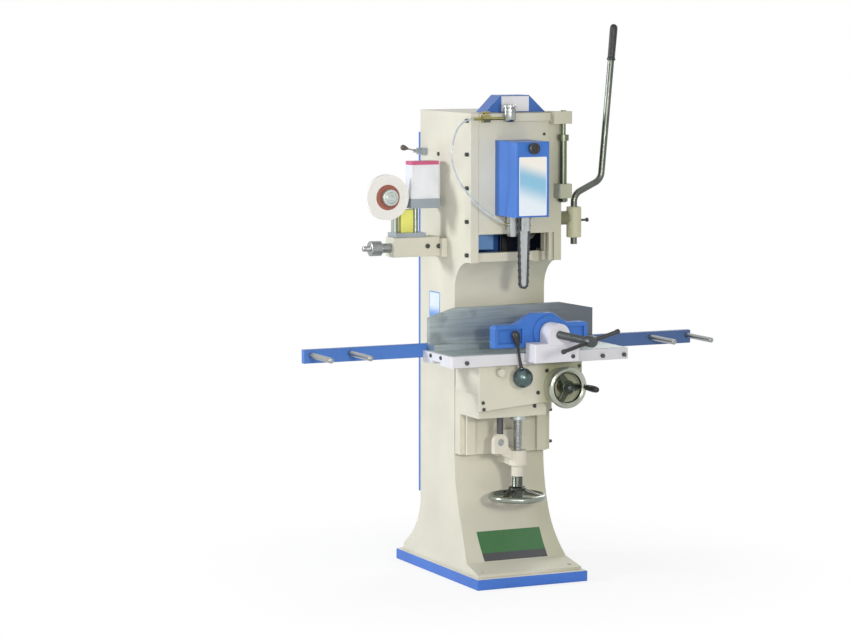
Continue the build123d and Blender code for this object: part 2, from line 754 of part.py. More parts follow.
# Chain links, every second one narrow, each with a cutting tooth on the outside
nose_turn = link_pitch / nose_radius
link_outer = link_pitch - link_space
link_inner = 2 * (nose_radius - link_height / 2) * tan(nose_turn / 2) - 2 * link_space
with BuildPart() as mortise_chain:
    for link in range(link_count):
        place_x, place_z, heading = chain_place((link + 0.5) * route_length / link_count)
        narrow = 4.0 * (link % 2)
        with BuildSketch(Plane.XZ.offset(-chain_y - (link_width - narrow) / 2)) as link_face:
            with Locations(Location((spindle_x + place_x, place_z), heading)):
                Polygon((-link_outer / 2, -link_height / 2), (link_outer / 2, -link_height / 2),
                        (link_inner / 2, link_height / 2), (-link_inner / 2, link_height / 2))
                with Locations((1.5, -link_height / 2)):
                    Rectangle(link_pitch - 5, 3)
        extrude(link_face.sketch, amount=link_width - narrow)
save(mortise_chain, "mortise_chain")
print("chain solids", len(mortise_chain.solids()), "nose at", round(nose_z, 1))


def bar_half(z):
    """Half the width of the bar under the chain at a height."""
    share = (z - nose_z) / (spindle_z - nose_z)
    return nose_radius + (sprocket_radius - nose_radius) * share - link_height / 2 - gap


# Guide bar inside the chain, with the clamp on its front
bar_top_z = spindle_z - sprocket_radius - 12
nose_half = bar_half(nose_z)
holder_bottom = spindle_z - 152
holder_half = 22.0
chain_rear_y = chain_y + link_width / 2
chain_front_y = chain_y - link_width / 2
neck = 8.0
with BuildPart() as guide_bar:
    with BuildSketch(Plane.XZ.offset(-chain_y - bar_thick / 2)):
        with BuildLine():
            Line((spindle_x - bar_half(bar_top_z), bar_top_z), (spindle_x - nose_half, nose_z))
            ThreePointArc((spindle_x - nose_half, nose_z), (spindle_x, nose_z - nose_half),
                          (spindle_x + nose_half, nose_z))
            Line((spindle_x + nose_half, nose_z), (spindle_x + bar_half(bar_top_z), bar_top_z))
            Line((spindle_x + bar_half(bar_top_z), bar_top_z), (spindle_x - bar_half(bar_top_z), bar_top_z))
        make_face()
    extrude(amount=bar_thick)
    block((spindle_x - oil_groove / 2, spindle_x + oil_groove / 2),
          (chain_y - bar_thick / 2 - 1, chain_y - bar_thick / 2 + oil_groove / 2),
          (nose_z, holder_bottom - nose_radius), Mode.SUBTRACT)
    block((spindle_x - 14, spindle_x + 14), (chain_front_y - 9, chain_front_y - 1),
          (holder_bottom, cover_bottom - 1))
    block((spindle_x - neck, spindle_x + neck), (chain_front_y - 2, chain_y - bar_thick / 2),
          (holder_bottom, cover_bottom - 1))
    hexagon_y(12, spindle_x, (chain_front_y - 14, chain_front_y - 9), holder_bottom + 24)
save(guide_bar, "guide_bar")


# Oil hose: its points, from the valve to the fitting on the chip breaker, heights from the valve down
hose_radius = 3.0
oil_z = plate_top + 11
hose_points = [
    (-165.0, -226.0, 0.0),
    (-200.0, -226.0, 0.0),
    (-236.0, -228.0, 31.0),
    (-254.0, -230.0, 85.0),
    (-255.0, -232.0, 148.0),
    (-226.0, -235.0, 211.0),
    (-178.0, -240.0, 267.0),
    (-124.0, -250.0, 313.0),
    (-72.0, -261.0, 343.0),
]
hose_corners = [Vector(x, y, oil_z - down) for x, y, down in hose_points]
hose_runs = [end - start for start, end in zip(hose_corners, hose_corners[1:])]
hose_radii = []
for before, after in zip(hose_runs, hose_runs[1:]):
    half_turn = radians(before.get_angle(after)) / 2
    hose_radii.append(0.45 * min(before.length, after.length) / tan(half_turn))
print("hose radii", [round(radius) for radius in hose_radii])
with BuildPart() as oil_hose:
    with BuildLine() as hose_path:
        FilletPolyline(*hose_corners, radius=hose_radii)
    with BuildSketch(Plane(origin=hose_corners[0], z_dir=hose_runs[0])):
        Circle(hose_radius)
    sweep()
save(oil_hose, "oil_hose")
hose_length = hose_path.wires()[0].length
print("hose length", round(hose_length), "volume share",
      round(oil_hose.part.volume / (pi * hose_radius ** 2 * hose_length), 4))

# Holder that carries the bar from the plate, with the chip breaker and the hose fitting
fitting_radius = 5.5
fitting_length = 6.0
breaker_left = spindle_x - holder_half - 22
with BuildPart() as bar_holder:
    block((spindle_x - holder_half, spindle_x + holder_half), (chain_rear_y + 1, plate_front_y),
          (holder_bottom, bar_top_z - 2))
    block((spindle_x - neck, spindle_x + neck), (chain_y + bar_thick / 2, chain_rear_y + 2),
          (holder_bottom, bar_top_z - 2))
    block((breaker_left, spindle_x - holder_half), (chain_rear_y + 1, chain_rear_y + 27),
          (holder_bottom - 18, cover_bottom - 1))
    rod_x(fitting_radius, (breaker_left - fitting_length, breaker_left + 1), hose_corners[-1].Y - 0.4,
          hose_corners[-1].Z - 1.2)
save(bar_holder, "bar_holder")

# Chain cover: a box open at the back and below
with BuildPart() as chain_cover:
    block((cover_left, cover_right), (cover_front_y, plate_front_y), (cover_bottom, cover_top))
    fillet(chain_cover.faces().sort_by(Axis.Y)[0].edges(), radius=5)
    block((cover_left + cover_wall, cover_right - cover_wall),
          (cover_front_y + cover_wall, plate_front_y + 1),
          (cover_bottom - 1, cover_top - cover_wall), Mode.SUBTRACT)
save(chain_cover, "chain_cover")

knob_x = spindle_x
knob_z = cover_top - 21
with BuildPart() as cover_knob:
    rod_y(6, knob_x, (cover_front_y - 9, cover_front_y), knob_z)
    rod_y(19, knob_x, (cover_front_y - 22, cover_front_y - 8), knob_z)
    fillet(cover_knob.faces().sort_by(Axis.Y)[0].edges(), radius=4)
save(cover_knob, "cover_knob")

# Oil reservoir and valve on the top bar
oil_y = hose_corners[0].Y
oil_x = -44.0
reservoir_radius = 20.0
reservoir_bottom = oil_z - 12
reservoir_height = 46.0
reservoir_cap = 11.0
reservoir_top = reservoir_bottom + reservoir_height
with BuildPart() as oil_reservoir:
    rod_z(reservoir_radius, oil_x, oil_y, (reservoir_bottom, reservoir_top))
    rod_z(reservoir_radius + 1.5, oil_x, oil_y, (reservoir_top, reservoir_top + reservoir_cap))
    block((oil_x - 10, oil_x + 10), (oil_y, bar_front_y), (reservoir_bottom + 5, oil_z + reservoir_cap))
save(oil_reservoir, "oil_reservoir")

valve_left = hose_corners[0].X
with BuildPart() as oil_valve:
    rod_x(5, (valve_left, oil_x - reservoir_radius - gap), oil_y, oil_z)
    hexagon_x(24, (valve_left + 22, valve_left + 48), oil_y, oil_z)
    block((valve_left + 30, valve_left + 44), (oil_y, bar_front_y), (oil_z - 6, oil_z + 6))
    rod_z(3, valve_left + 35, oil_y, (oil_z, oil_z + 20))
    rod_x(4, (valve_left + 22, valve_left + 48), oil_y, oil_z + 20)
save(oil_valve, "oil_valve")

# Balance chain from the lug to the drum, and the drum with its groove
with BuildPart() as balance_chain:
    rod_z(balance_chain_radius, balance_x, drum_y, (lug_top, drum_z))
save(balance_chain, "balance_chain")

with BuildPart() as balance_drum:
    rod_y(drum_radius, drum_x, (drum_y - drum_width / 2, drum_y + drum_width / 2), drum_z)
    with BuildSketch(Plane.XZ.offset(-drum_y - balance_chain_radius - 1)):
        with Locations((drum_x, drum_z)):
            Circle(drum_radius + 1)
            Circle(drum_radius - 2 * balance_chain_radius - 0.5, mode=Mode.SUBTRACT)
    extrude(amount=2 * balance_chain_radius + 2, mode=Mode.SUBTRACT)
    rod_y(drum_pin_radius + running, drum_x, (drum_y - drum_width, drum_y + drum_width), drum_z,
          Mode.SUBTRACT)
save(balance_drum, "balance_drum")

# Feed lever: shaft with its pinion, boss, bent rod and grip
with BuildPart() as feed_shaft:
    with BuildSketch(Plane(origin=(feed_left, feed_y, feed_z), x_dir=(0, 1, 0), z_dir=(1, 0, 0))):
        with BuildLine():
            Polyline(*gear_points(feed_teeth, pi), close=True)
        make_face()
    extrude(amount=feed_width)
    rod_x(feed_shaft_radius, (feed_left - 2, lever_x - lever_radius - 2), feed_y, feed_z)
save(feed_shaft, "feed_shaft")

with BuildPart() as lever_boss:
    rod_z(boss_radius, lever_x, feed_y, (boss_bottom, boss_top))
    chamfer(lever_boss.edges().filter_by(GeomType.CIRCLE), length=2)
    rod_x(4, (lever_x + boss_radius - 4, lever_x + boss_radius + 22), feed_y, feed_z - 9)
    rod_x(7, (lever_x + boss_radius + 22, lever_x + boss_radius + 28), feed_y, feed_z - 9)
    rod_z(lever_radius + screw_gap, lever_x, feed_y, (boss_bottom - 1, boss_top + 1), Mode.SUBTRACT)
    rod_x(feed_shaft_radius + screw_gap,
          (lever_x - boss_radius - 5, lever_x - lever_radius - 2 + screw_gap),
          feed_y, feed_z, Mode.SUBTRACT)
save(lever_boss, "lever_boss")

lever_points = [(0, -lever_tail), (0, lever_first_rise), (lever_second_out, lever_second_rise),
                (lever_end_out, lever_end_rise)]
lever_corners = [Vector(lever_x + out, feed_y, feed_z + rise) for out, rise in lever_points]
with BuildPart() as lever_rod:
    with BuildLine():
        FilletPolyline(*lever_corners, radius=lever_bend)
    with BuildSketch(Plane(origin=lever_corners[0], z_dir=lever_corners[1] - lever_corners[0])):
        Circle(lever_radius)
    sweep()
save(lever_rod, "lever_rod")

grip_plane = Plane(origin=lever_corners[-1], z_dir=lever_corners[-1] - lever_corners[-2])
with BuildPart(grip_plane) as lever_grip:
    Cylinder(grip_radius, grip_length, align=(Align.CENTER, Align.CENTER, Align.MIN))
    fillet(lever_grip.edges().filter_by(GeomType.CIRCLE).sort_by(Axis.Z)[-1], radius=7)
save(lever_grip, "lever_grip")

# Knee: hollow box with a rail on top and skirts down the pad
cutout_left = guide_x - eye_half - 22
cutout_right = skirt_half - 36
nut_neck = 18.0
with BuildPart() as knee_casting:
    block((-knee_half, knee_half), (knee_front_y, knee_rear_y), (knee_bottom, knee_top))
    fillet(knee_casting.edges().filter_by(Axis.Z).group_by(Axis.Y)[0], radius=casting_edge)
    block((-rail_half, rail_half), (knee_front_y, knee_rear_y), (knee_top, knee_top + rail_height))
    block((-skirt_half, skirt_half), (knee_rear_y - skirt_depth, knee_rear_y),
          (skirt_bottom, knee_bottom))
    block((cutout_left, cutout_right), (knee_rear_y - skirt_depth - 1, knee_rear_y + 1),
          (skirt_bottom - 1, knee_bottom), Mode.SUBTRACT)
    block((knee_right, knee_half + 1), (knee_front_y - 1, knee_rear_y - skirt_depth),
          (knee_bottom - 1, knee_top - knee_top_plate), Mode.SUBTRACT)
    block((-knee_half + knee_wall, knee_right - knee_wall),
          (knee_front_y + knee_wall, knee_rear_y - skirt_depth),
          (knee_bottom + knee_wall, knee_top - knee_wall), Mode.SUBTRACT)
    rod_z(elevator_radius + 2, elevator_x, elevator_y,
          (knee_bottom - 1, knee_top + rail_height - 6), Mode.SUBTRACT)
    rod_z(nut_neck + screw_gap, elevator_x, elevator_y, (knee_bottom - 1, knee_bottom + knee_wall + 1),
          Mode.SUBTRACT)
    rod_z(guide_radius + running, guide_x, elevator_y, (knee_bottom - 1, knee_bottom + knee_wall + 1),
          Mode.SUBTRACT)
save(knee_casting, "knee_casting")

# Keepers that hook behind the lip of the pad, with the clamping screws of the right one
knee_screw_z = [skirt_bottom + 23, knee_bottom - 7, knee_top - 28]
knee_screw_y = pad_front_y + 19
strip = (lip_half + gap, knee_half)
hook = (neck_half + gap, lip_half + gap)
with BuildPart() as knee_keepers:
    block(strip, (knee_rear_y, keeper_rear_y), (skirt_bottom, knee_top))
    block(hook, (pad_front_y + lip_depth + gap, keeper_rear_y), (skirt_bottom, knee_top))
    mirror(about=Plane.YZ)
    for place_z in knee_screw_z:
        rod_x(6, (knee_half, knee_half + 12), knee_screw_y, place_z)
        hexagon_x(10, (knee_half + 8, knee_half + 18), knee_screw_y, place_z)
save(knee_keepers, "knee_keepers")

# Nuts: one under the knee floor for the elevating screw, one on its top for the cross screw
cross_nut_front_y = knee_front_y + 2
cross_nut_length = 40.0
cross_nut_half = 16.0
with BuildPart() as feed_nuts:
    rod_z(25, elevator_x, elevator_y, (knee_bottom - 14, knee_bottom))
    rod_z(nut_neck, elevator_x, elevator_y, (knee_bottom, knee_bottom + knee_wall + 12))
    rod_z(elevator_radius + gap, elevator_x, elevator_y, (knee_bottom - 15, knee_bottom + 40),
          Mode.SUBTRACT)
    block((cross_x - cross_nut_half, cross_x + cross_nut_half),
          (cross_nut_front_y, cross_nut_front_y + cross_nut_length), (knee_top, cross_z + cross_nut_half))
    rod_y(cross_radius + gap, cross_x, (knee_front_y, knee_rear_y), cross_z, Mode.SUBTRACT)
save(feed_nuts, "feed_nuts")

# Elevating screw and its handwheel
thread_bottom = screw_boss[1] + gap
with BuildPart() as elevating_screw:
    rod_z(journal_radius, elevator_x, elevator_y, (big_wheel_z - rim_radius - 4, thread_bottom))
    rod_z(elevator_radius, elevator_x, elevator_y, (thread_bottom, elevator_top))
    chamfer(elevating_screw.faces().sort_by(Axis.Z)[-1].edges(), length=2)
save(elevating_screw, "elevating_screw")

with BuildPart(Plane.XY.move(Location((elevator_x, elevator_y, big_wheel_z)))) as elevating_wheel:
    handwheel(big_wheel_radius, rim_radius, 18, lower_boss_bottom - gap - big_wheel_z,
              journal_radius + running)
save(elevating_wheel, "elevating_wheel")

# Saddle with its apron, rail channel, screw slot and pinion pocket
saddle_bottom = knee_top + gap
cross_boss_depth = 20.0
cross_boss_radius = 60.0
pinion_reach = table_radius + gear_module + 3
pinion_front_y = table_pinion_rear_y - table_pinion_width
apron_step_x = 77.0
lock_x = -118.0
lock_z = saddle_top - 24.7
with BuildPart() as saddle:
    block((-saddle_half, saddle_half), (saddle_front_y, saddle_rear_y), (saddle_bottom, saddle_top))
    with BuildSketch(Plane.XZ.offset(-saddle_front_y - apron_depth)):
        with BuildLine():
            Polyline((-saddle_half, saddle_top), (-saddle_half, apron_left_z),
                     (apron_step_x, apron_right_z), (saddle_half, apron_right_z),
                     (saddle_half, saddle_top), close=True)
        make_face()
    extrude(amount=apron_depth)
    fillet(saddle.faces().sort_by(Axis.Y)[0].edges(), radius=casting_edge)
    rod_y(cross_boss_radius, cross_x, (saddle_front_y - cross_boss_depth, saddle_front_y), cross_z)
    rod_y(24, table_pinion_x, (saddle_front_y - 10, saddle_front_y), table_pinion_z)
    rod_y(7, lock_x, (saddle_front_y - 10, saddle_front_y), lock_z)
    rod_y(13, lock_x, (saddle_front_y - 26, saddle_front_y - 9), lock_z)
    block((-saddle_half, saddle_half), (guide_front_y, guide_rear_y), (saddle_top, saddle_top + guide_rise))
    block((-rail_half - gap, rail_half + gap), (saddle_front_y + apron_depth, saddle_rear_y + 1),
          (saddle_bottom - 1, knee_top + rail_height + gap), Mode.SUBTRACT)
    block((cross_x - cross_nut_half - 4, cross_x + cross_nut_half + 4),
          (saddle_front_y + apron_depth, saddle_rear_y + 1),
          (saddle_bottom - 1, cross_z + cross_nut_half + 4), Mode.SUBTRACT)
    rod_y(cross_radius + running, cross_x, (saddle_front_y - cross_boss_depth - 1, saddle_rear_y), cross_z,
          Mode.SUBTRACT)
    block((table_pinion_x - pinion_reach, table_pinion_x + pinion_reach),
          (pinion_front_y - 2, table_pinion_rear_y + 2),
          (table_pinion_z - pinion_reach, saddle_top + 1), Mode.SUBTRACT)
    block((-saddle_half - 1, saddle_half + 1), (pinion_front_y - 3, table_pinion_rear_y + 3),
          (table_pinion_z + table_radius - gear_module - 2, saddle_top + 1), Mode.SUBTRACT)
    rod_y(table_shaft_radius + running, table_pinion_x, (saddle_front_y - 11, table_pinion_rear_y + 20),
          table_pinion_z, Mode.SUBTRACT)
save(saddle, "saddle")

# Cross screw, front wheel and its handle
with BuildPart() as cross_screw:
    rod_y(cross_radius, cross_x, (small_wheel_y - small_rim_radius - 4, saddle_rear_y - 5), cross_z)
save(cross_screw, "cross_screw")

wheel_plane = Plane(origin=(cross_x, small_wheel_y, cross_z), x_dir=(1, 0, 0), z_dir=(0, 1, 0))
cross_hub = saddle_front_y - cross_boss_depth - gap - small_wheel_y
with BuildPart(wheel_plane) as front_wheel:
    handwheel(small_wheel_radius, small_rim_radius, 24, cross_hub, cross_radius + running)
save(front_wheel, "front_wheel")

handle_x = cross_x + small_wheel_radius - small_rim_radius
handle_rear_y = small_wheel_y - small_rim_radius
with BuildPart() as wheel_handle:
    rod_y(6, handle_x, (handle_rear_y - 14, handle_rear_y), cross_z)
    rod_y(11, handle_x, (handle_rear_y - 90, handle_rear_y - 12), cross_z)
    fillet(wheel_handle.edges().filter_by(GeomType.CIRCLE).group_by(Axis.Y)[0], radius=6)
save(wheel_handle, "wheel_handle")

# Table frame with its groove, rack recess and plate recess
lip = 12.0
rack_left = table_pinion_x - 54
rack_right = table_pinion_x + 96
rack_back_z = saddle_top + 18
table_bolt_x = [-251.0, 150.0, 245.0, 325.0]
with BuildPart() as table_frame:
    block((table_left, table_right), (table_front_y, table_rear_y), (table_bottom, table_top - 1))
    fillet(table_frame.edges().filter_by(Axis.Z).group_by(Axis.Y)[0], radius=table_corner)
    block((table_left + lip, table_right - lip), (table_front_y + lip, table_rear_y + 1),
          (table_frame_top, table_top), Mode.SUBTRACT)
    block((table_left - 1, table_right + 1), (guide_front_y - gap, guide_rear_y + gap),
          (table_bottom - 1, saddle_top + guide_rise + gap), Mode.SUBTRACT)
    block((rack_left - gap, rack_right + gap), (pinion_front_y - gap, table_pinion_rear_y + gap),
          (table_bottom - 1, rack_back_z), Mode.SUBTRACT)
    for bolt_x in table_bolt_x:
        hexagon_y(13, bolt_x, (table_front_y - 8, table_front_y), table_bottom + 15)
save(table_frame, "table_frame")

with BuildPart() as table_plate_piece:
    block((table_left + lip + gap, table_right - lip - gap), (table_front_y + lip + gap, table_rear_y),
          (table_frame_top, table_top))
save(table_plate_piece, "table_top")

with BuildPart() as table_rack:
    table_pitch_z = table_pinion_z + table_radius
    with BuildSketch(Plane(origin=(0, pinion_front_y, table_pitch_z), x_dir=(1, 0, 0), z_dir=(0, 1, 0))):
        with BuildLine():
            rack_line = rack_points(rack_left, rack_right, table_pinion_x, table_pitch_z - rack_back_z)
            Polyline(*rack_line, close=True)
        make_face()
    extrude(amount=table_pinion_width)
save(table_rack, "table_rack")

# Fence with its foot flange
fence_left = table_left + lip + 3
fence_right = table_right - 30
fence_left_rise = 105.0
fence_peak_rise = 134.0
fence_peak_xs = (-197.0, 195.0)
fence_right_rise = 115.0
with BuildPart() as fence:
    with BuildSketch(Plane.XZ.offset(-table_rear_y)):
        with BuildLine():
            Polyline((fence_left, table_top), (fence_left, table_top + fence_left_rise),
                     (fence_peak_xs[0], table_top + fence_peak_rise),
                     (fence_peak_xs[1], table_top + fence_peak_rise + 4),
                     (fence_right, table_top + fence_right_rise), (fence_right, table_top), close=True)
        make_face()
    extrude(amount=fence_depth)
    block((fence_left, fence_right),
          (table_rear_y - fence_depth - fence_flange, table_rear_y - fence_depth),
          (table_top, table_top + fence_flange_height))
save(fence, "fence")

# Long work support: beam and four rods
with BuildPart() as support_beam:
    block((beam_left, beam_right), (table_rear_y, table_rear_y + beam_depth),
          (beam_bottom, beam_bottom + beam_height))
    fillet(support_beam.edges().filter_by(Axis.X), radius=3)
save(support_beam, "support_beam")

with BuildPart() as support_rods:
    for rod_place in support_rod_x:
        rod_y(support_rod_radius, rod_place, (table_rear_y - support_rod_length, table_rear_y),
              beam_bottom + 27)
    fillet(support_rods.edges().filter_by(GeomType.CIRCLE).group_by(Axis.Y)[0], radius=4)
save(support_rods, "support_rods")

# Table pinion on its shaft, the ball lever and its knob
with BuildPart() as table_pinion:
    with BuildSketch(Plane(origin=(table_pinion_x, pinion_front_y, table_pinion_z), x_dir=(1, 0, 0),
                           z_dir=(0, -1, 0))):
        with BuildLine():
            Polyline(*gear_points(table_teeth, pi / 2), close=True)
        make_face()
    extrude(amount=-table_pinion_width)
    rod_y(table_shaft_radius, table_pinion_x,
          (table_lever_y + lever_ball_radius + gap, table_pinion_rear_y + 18), table_pinion_z)
save(table_pinion, "table_pinion")

knob_centre = Vector(table_pinion_x - 24, table_lever_y, table_pinion_z + 130)
knob_radius = 14.0
knob_half = 12.0
lever_foot_point = Vector(table_pinion_x, table_lever_y, table_pinion_z)
lever_way = (knob_centre - lever_foot_point).normalized()
lever_reach = (knob_centre - lever_foot_point).length
with BuildPart(Plane(origin=lever_foot_point, z_dir=lever_way)) as table_lever:
    Sphere(lever_ball_radius)
    Cylinder(5, lever_reach - knob_half - knob_radius, align=(Align.CENTER, Align.CENTER, Align.MIN))
save(table_lever, "table_lever")

with BuildPart(Plane(origin=knob_centre, z_dir=lever_way)) as lever_knob:
    Cylinder(knob_radius, 2 * knob_half)
    with Locations((0, 0, knob_half), (0, 0, -knob_half)):
        Sphere(knob_radius)
save(lever_knob, "lever_knob")

# Clamp bracket with its barrel on the front of the table
barrel_ys = (clamp_front_y - 2, clamp_barrel_rear_y)
with BuildPart() as clamp_bracket:
    block((clamp_block_left, clamp_block_right), (clamp_front_y, table_front_y),
          (clamp_block_bottom, table_top - 1))
    block((clamp_block_left, clamp_block_right), (clamp_front_y, clamp_barrel_rear_y),
          (clamp_block_bottom, clamp_block_top))
    fillet(clamp_bracket.edges().filter_by(Axis.Z).group_by(Axis.Y)[0], radius=casting_edge)
    block((clamp_x - clamp_barrel_radius, clamp_x + clamp_barrel_radius), barrel_ys,
          (clamp_block_top - 5, clamp_z))
    rod_y(clamp_barrel_radius, clamp_x, barrel_ys, clamp_z)
    rod_y(clamp_screw_radius + gap, clamp_x, (clamp_front_y - 5, clamp_barrel_rear_y + 5), clamp_z,
          Mode.SUBTRACT)
save(clamp_bracket, "clamp_bracket")

# Clamp jaw: shaped face with a raised rim and the boss for the screw
jaw_left = -150.0
jaw_right = 191.0
jaw_middle = 20.0
jaw_boss_radius = 56.0
jaw_bottom = table_top + 18
jaw_shoulder = table_top + 93
jaw_peak = table_top + 127
jaw_web = 10.0
tip_radius = 9.0
tip_depth = 30.0
with BuildPart() as clamp_jaw:
    with BuildSketch(Plane.XZ.offset(-jaw_rear_y)) as jaw_face:
        with BuildLine():
            Polyline((jaw_left, jaw_bottom), (jaw_right, jaw_bottom), (jaw_right, jaw_shoulder),
                     (jaw_middle + 95, jaw_shoulder), (jaw_middle + 42, jaw_peak), (jaw_middle - 26, jaw_peak),
                     (jaw_middle - 88, jaw_shoulder), (jaw_left, jaw_shoulder), close=True)
        make_face()
        fillet(jaw_face.vertices().sort_by(Axis.Y)[2:], radius=12)
    extrude(amount=jaw_rear_y - jaw_front_y - 6)
    fillet(clamp_jaw.faces().sort_by(Axis.Y)[0].edges(), radius=sheet_edge)
    block((jaw_left + 14, jaw_middle - 70), (jaw_front_y - 1, jaw_front_y + 6 + jaw_web),
          (jaw_bottom + 14, jaw_shoulder - 14), Mode.SUBTRACT)
    block((clamp_x + 60, jaw_right - 14), (jaw_front_y - 1, jaw_front_y + 6 + jaw_web),
          (jaw_bottom + 14, jaw_shoulder - 14), Mode.SUBTRACT)
    rod_y(jaw_boss_radius, clamp_x, (jaw_front_y, jaw_front_y + 10), clamp_z)
    rod_y(tip_radius + running, clamp_x, (jaw_front_y - 1, jaw_front_y + tip_depth), clamp_z, Mode.SUBTRACT)
save(clamp_jaw, "clamp_jaw")

# Clamp screw with the bar through its head
with BuildPart() as clamp_screw:
    rod_y(clamp_screw_radius, clamp_x, (clamp_screw_end_y - 15, jaw_front_y - gap), clamp_z)
    rod_y(tip_radius, clamp_x, (jaw_front_y - 2, jaw_front_y + tip_depth - 1), clamp_z)
    rod_y(clamp_screw_radius + 5, clamp_x, (clamp_screw_end_y - 17, clamp_screw_end_y + 17), clamp_z)
    with Locations(Location((clamp_x, clamp_screw_end_y, clamp_z), (0, 90 - tommy_tilt, 0))):
        Cylinder(tommy_radius, tommy_length)
save(clamp_screw, "clamp_screw")

# Sharpener carriage: foot in the slot, base, posts, head and spindle boss
foot_xs = (-318.0, -250.0)
carriage_base_top = arm_top + 14
slab_bottom = arm_top + 95
slab_top = slab_bottom + 31
post_y = 56.0
left_post_x = -328.0
right_post_x = -253.0
boss_ys = (stone_y + stone_thick / 2 + 6, arm_rear_y)
slab_xs = (-292.0, -187.0)
with BuildPart() as grinder_carriage:
    block(foot_xs, (sharp_y - slot_half + gap, sharp_y + slot_half - gap),
          (sharp_screw_z - slot_half + gap, arm_top + 1))
    block((-345, -235), (arm_front_y, arm_rear_y), (arm_top + gap, carriage_base_top))
    rod_z(11.5, left_post_x, post_y, (carriage_base_top - 1, slab_bottom + 1))
    rod_z(10, right_post_x, post_y, (carriage_base_top - 1, slab_bottom + 1))
    block((stone_x - 25, slab_xs[0]), boss_ys, (slab_bottom, slab_top))
    block(slab_xs, (2, arm_rear_y), (slab_bottom, slab_top))
    block((stone_x - 25, stone_x + 25), boss_ys, (slab_bottom, stone_z))
    rod_y(25, stone_x, boss_ys, stone_z)
    rod_y(spindle_pin_radius + running, stone_x, (0, arm_rear_y + 1), stone_z, Mode.SUBTRACT)
    rod_x(sharp_screw_radius + gap, (foot_xs[0] - 1, foot_xs[1] + 1), sharp_y, sharp_screw_z, Mode.SUBTRACT)
save(grinder_carriage, "grinder_carriage")

with BuildPart() as chain_rest:
    block((-311, -267), (arm_front_y + 28, arm_rear_y - 8), (carriage_base_top, slab_bottom - 5))
    fillet(chain_rest.edges().filter_by(Axis.Z), radius=3)
save(chain_rest, "chain_rest")

motor_box_height = 113.0
with BuildPart() as grinder_motor:
    block((slab_xs[0] + 2, slab_xs[1]), (5, 54), (slab_top, slab_top + motor_box_height + 12))
    fillet(grinder_motor.edges().filter_by(Axis.Z), radius=5)
    fillet(grinder_motor.faces().sort_by(Axis.Z)[-1].edges(), radius=sheet_edge)
save(grinder_motor, "grinder_motor")

# Grinding wheel on its spindle
with BuildPart() as grinding_wheel:
    rod_y(stone_radius, stone_x, (stone_y - stone_thick / 2, stone_y + stone_thick / 2), stone_z)
    rod_y(spindle_pin_radius + running, stone_x, (stone_y - stone_thick, stone_y + stone_thick), stone_z,
          Mode.SUBTRACT)
save(grinding_wheel, "grinding_wheel")

with BuildPart() as wheel_spindle:
    rod_y(spindle_pin_radius, stone_x, (stone_y - stone_thick / 2 - 14, arm_rear_y + 6), stone_z)
    rod_y(26, stone_x, (boss_ys[0] - 6, boss_ys[0] - gap), stone_z)
    rod_y(26, stone_x, (stone_y - stone_thick / 2 - 5, stone_y - stone_thick / 2), stone_z)
    hexagon_y(24, stone_x, (stone_y - stone_thick / 2 - 13, stone_y - stone_thick / 2 - 5), stone_z)
save(wheel_spindle, "wheel_spindle")

# Feed knob and screw of the sharpener
with BuildPart() as grinder_knob:
    rod_x(sharp_screw_radius, (arm_left - 40, flange_x - 26), sharp_y, sharp_screw_z)
    rod_x(16, (arm_left - 34, arm_left - gap), sharp_y, sharp_screw_z)
    rod_x(25, (arm_left - 74, arm_left - 34), sharp_y, sharp_screw_z)
    rod_x(9, (arm_left - 98, arm_left - 74), sharp_y, sharp_screw_z)
save(grinder_knob, "grinder_knob")
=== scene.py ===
"""Chain mortiser: its paints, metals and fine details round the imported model."""
from math import acos, asin, atan2, cos, pi, radians, sin

import bpy
import bmesh
from mathutils import Matrix, Vector


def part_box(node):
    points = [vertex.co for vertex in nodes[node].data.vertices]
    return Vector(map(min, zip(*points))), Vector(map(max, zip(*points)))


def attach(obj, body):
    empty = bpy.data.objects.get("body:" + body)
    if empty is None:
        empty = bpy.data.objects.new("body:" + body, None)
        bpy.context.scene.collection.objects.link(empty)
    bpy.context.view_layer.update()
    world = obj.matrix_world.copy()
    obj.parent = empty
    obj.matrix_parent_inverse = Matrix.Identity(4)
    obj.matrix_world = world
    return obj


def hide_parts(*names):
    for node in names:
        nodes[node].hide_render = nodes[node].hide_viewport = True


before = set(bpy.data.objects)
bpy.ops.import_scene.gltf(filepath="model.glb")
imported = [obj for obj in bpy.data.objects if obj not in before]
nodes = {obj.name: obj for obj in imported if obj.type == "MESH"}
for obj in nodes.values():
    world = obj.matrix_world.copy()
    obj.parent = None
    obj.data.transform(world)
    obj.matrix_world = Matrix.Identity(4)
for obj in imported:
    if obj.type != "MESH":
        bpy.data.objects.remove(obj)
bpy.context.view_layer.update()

scene = bpy.context.scene
scene.view_settings.view_transform = "Standard"

# Ways that pieces face, and axes and pivots that several pieces share, in millimetres
mm = 0.001
to_front, to_left, to_right = (0, -1, 0), (-1, 0, 0), (1, 0, 0)
front_wheel_x, front_wheel_z = 106, 656
lift_x, lift_y = -5, -214
clamp_x, clamp_z = 45, 838
spindle_x, spindle_z, chain_y = -20, 1320, -283
slide_knob_end = (-450, 40, 1100)
switch_pivot = (-198, 170, 1413)

# Camera at the photograph's place, for a frame of 850 by 639
camera_data = bpy.data.cameras.new("camera")
camera_data.lens = 127.06
camera_data.sensor_width = 36.0
camera_data.clip_end = 100.0
camera = bpy.data.objects.new("camera", camera_data)
camera.location = (-4.4287, -8.9812, 1.9131)
camera.rotation_euler = (radians(90 - 6.06), 0, radians(-24.99))
scene.collection.objects.link(camera)
scene.camera = camera


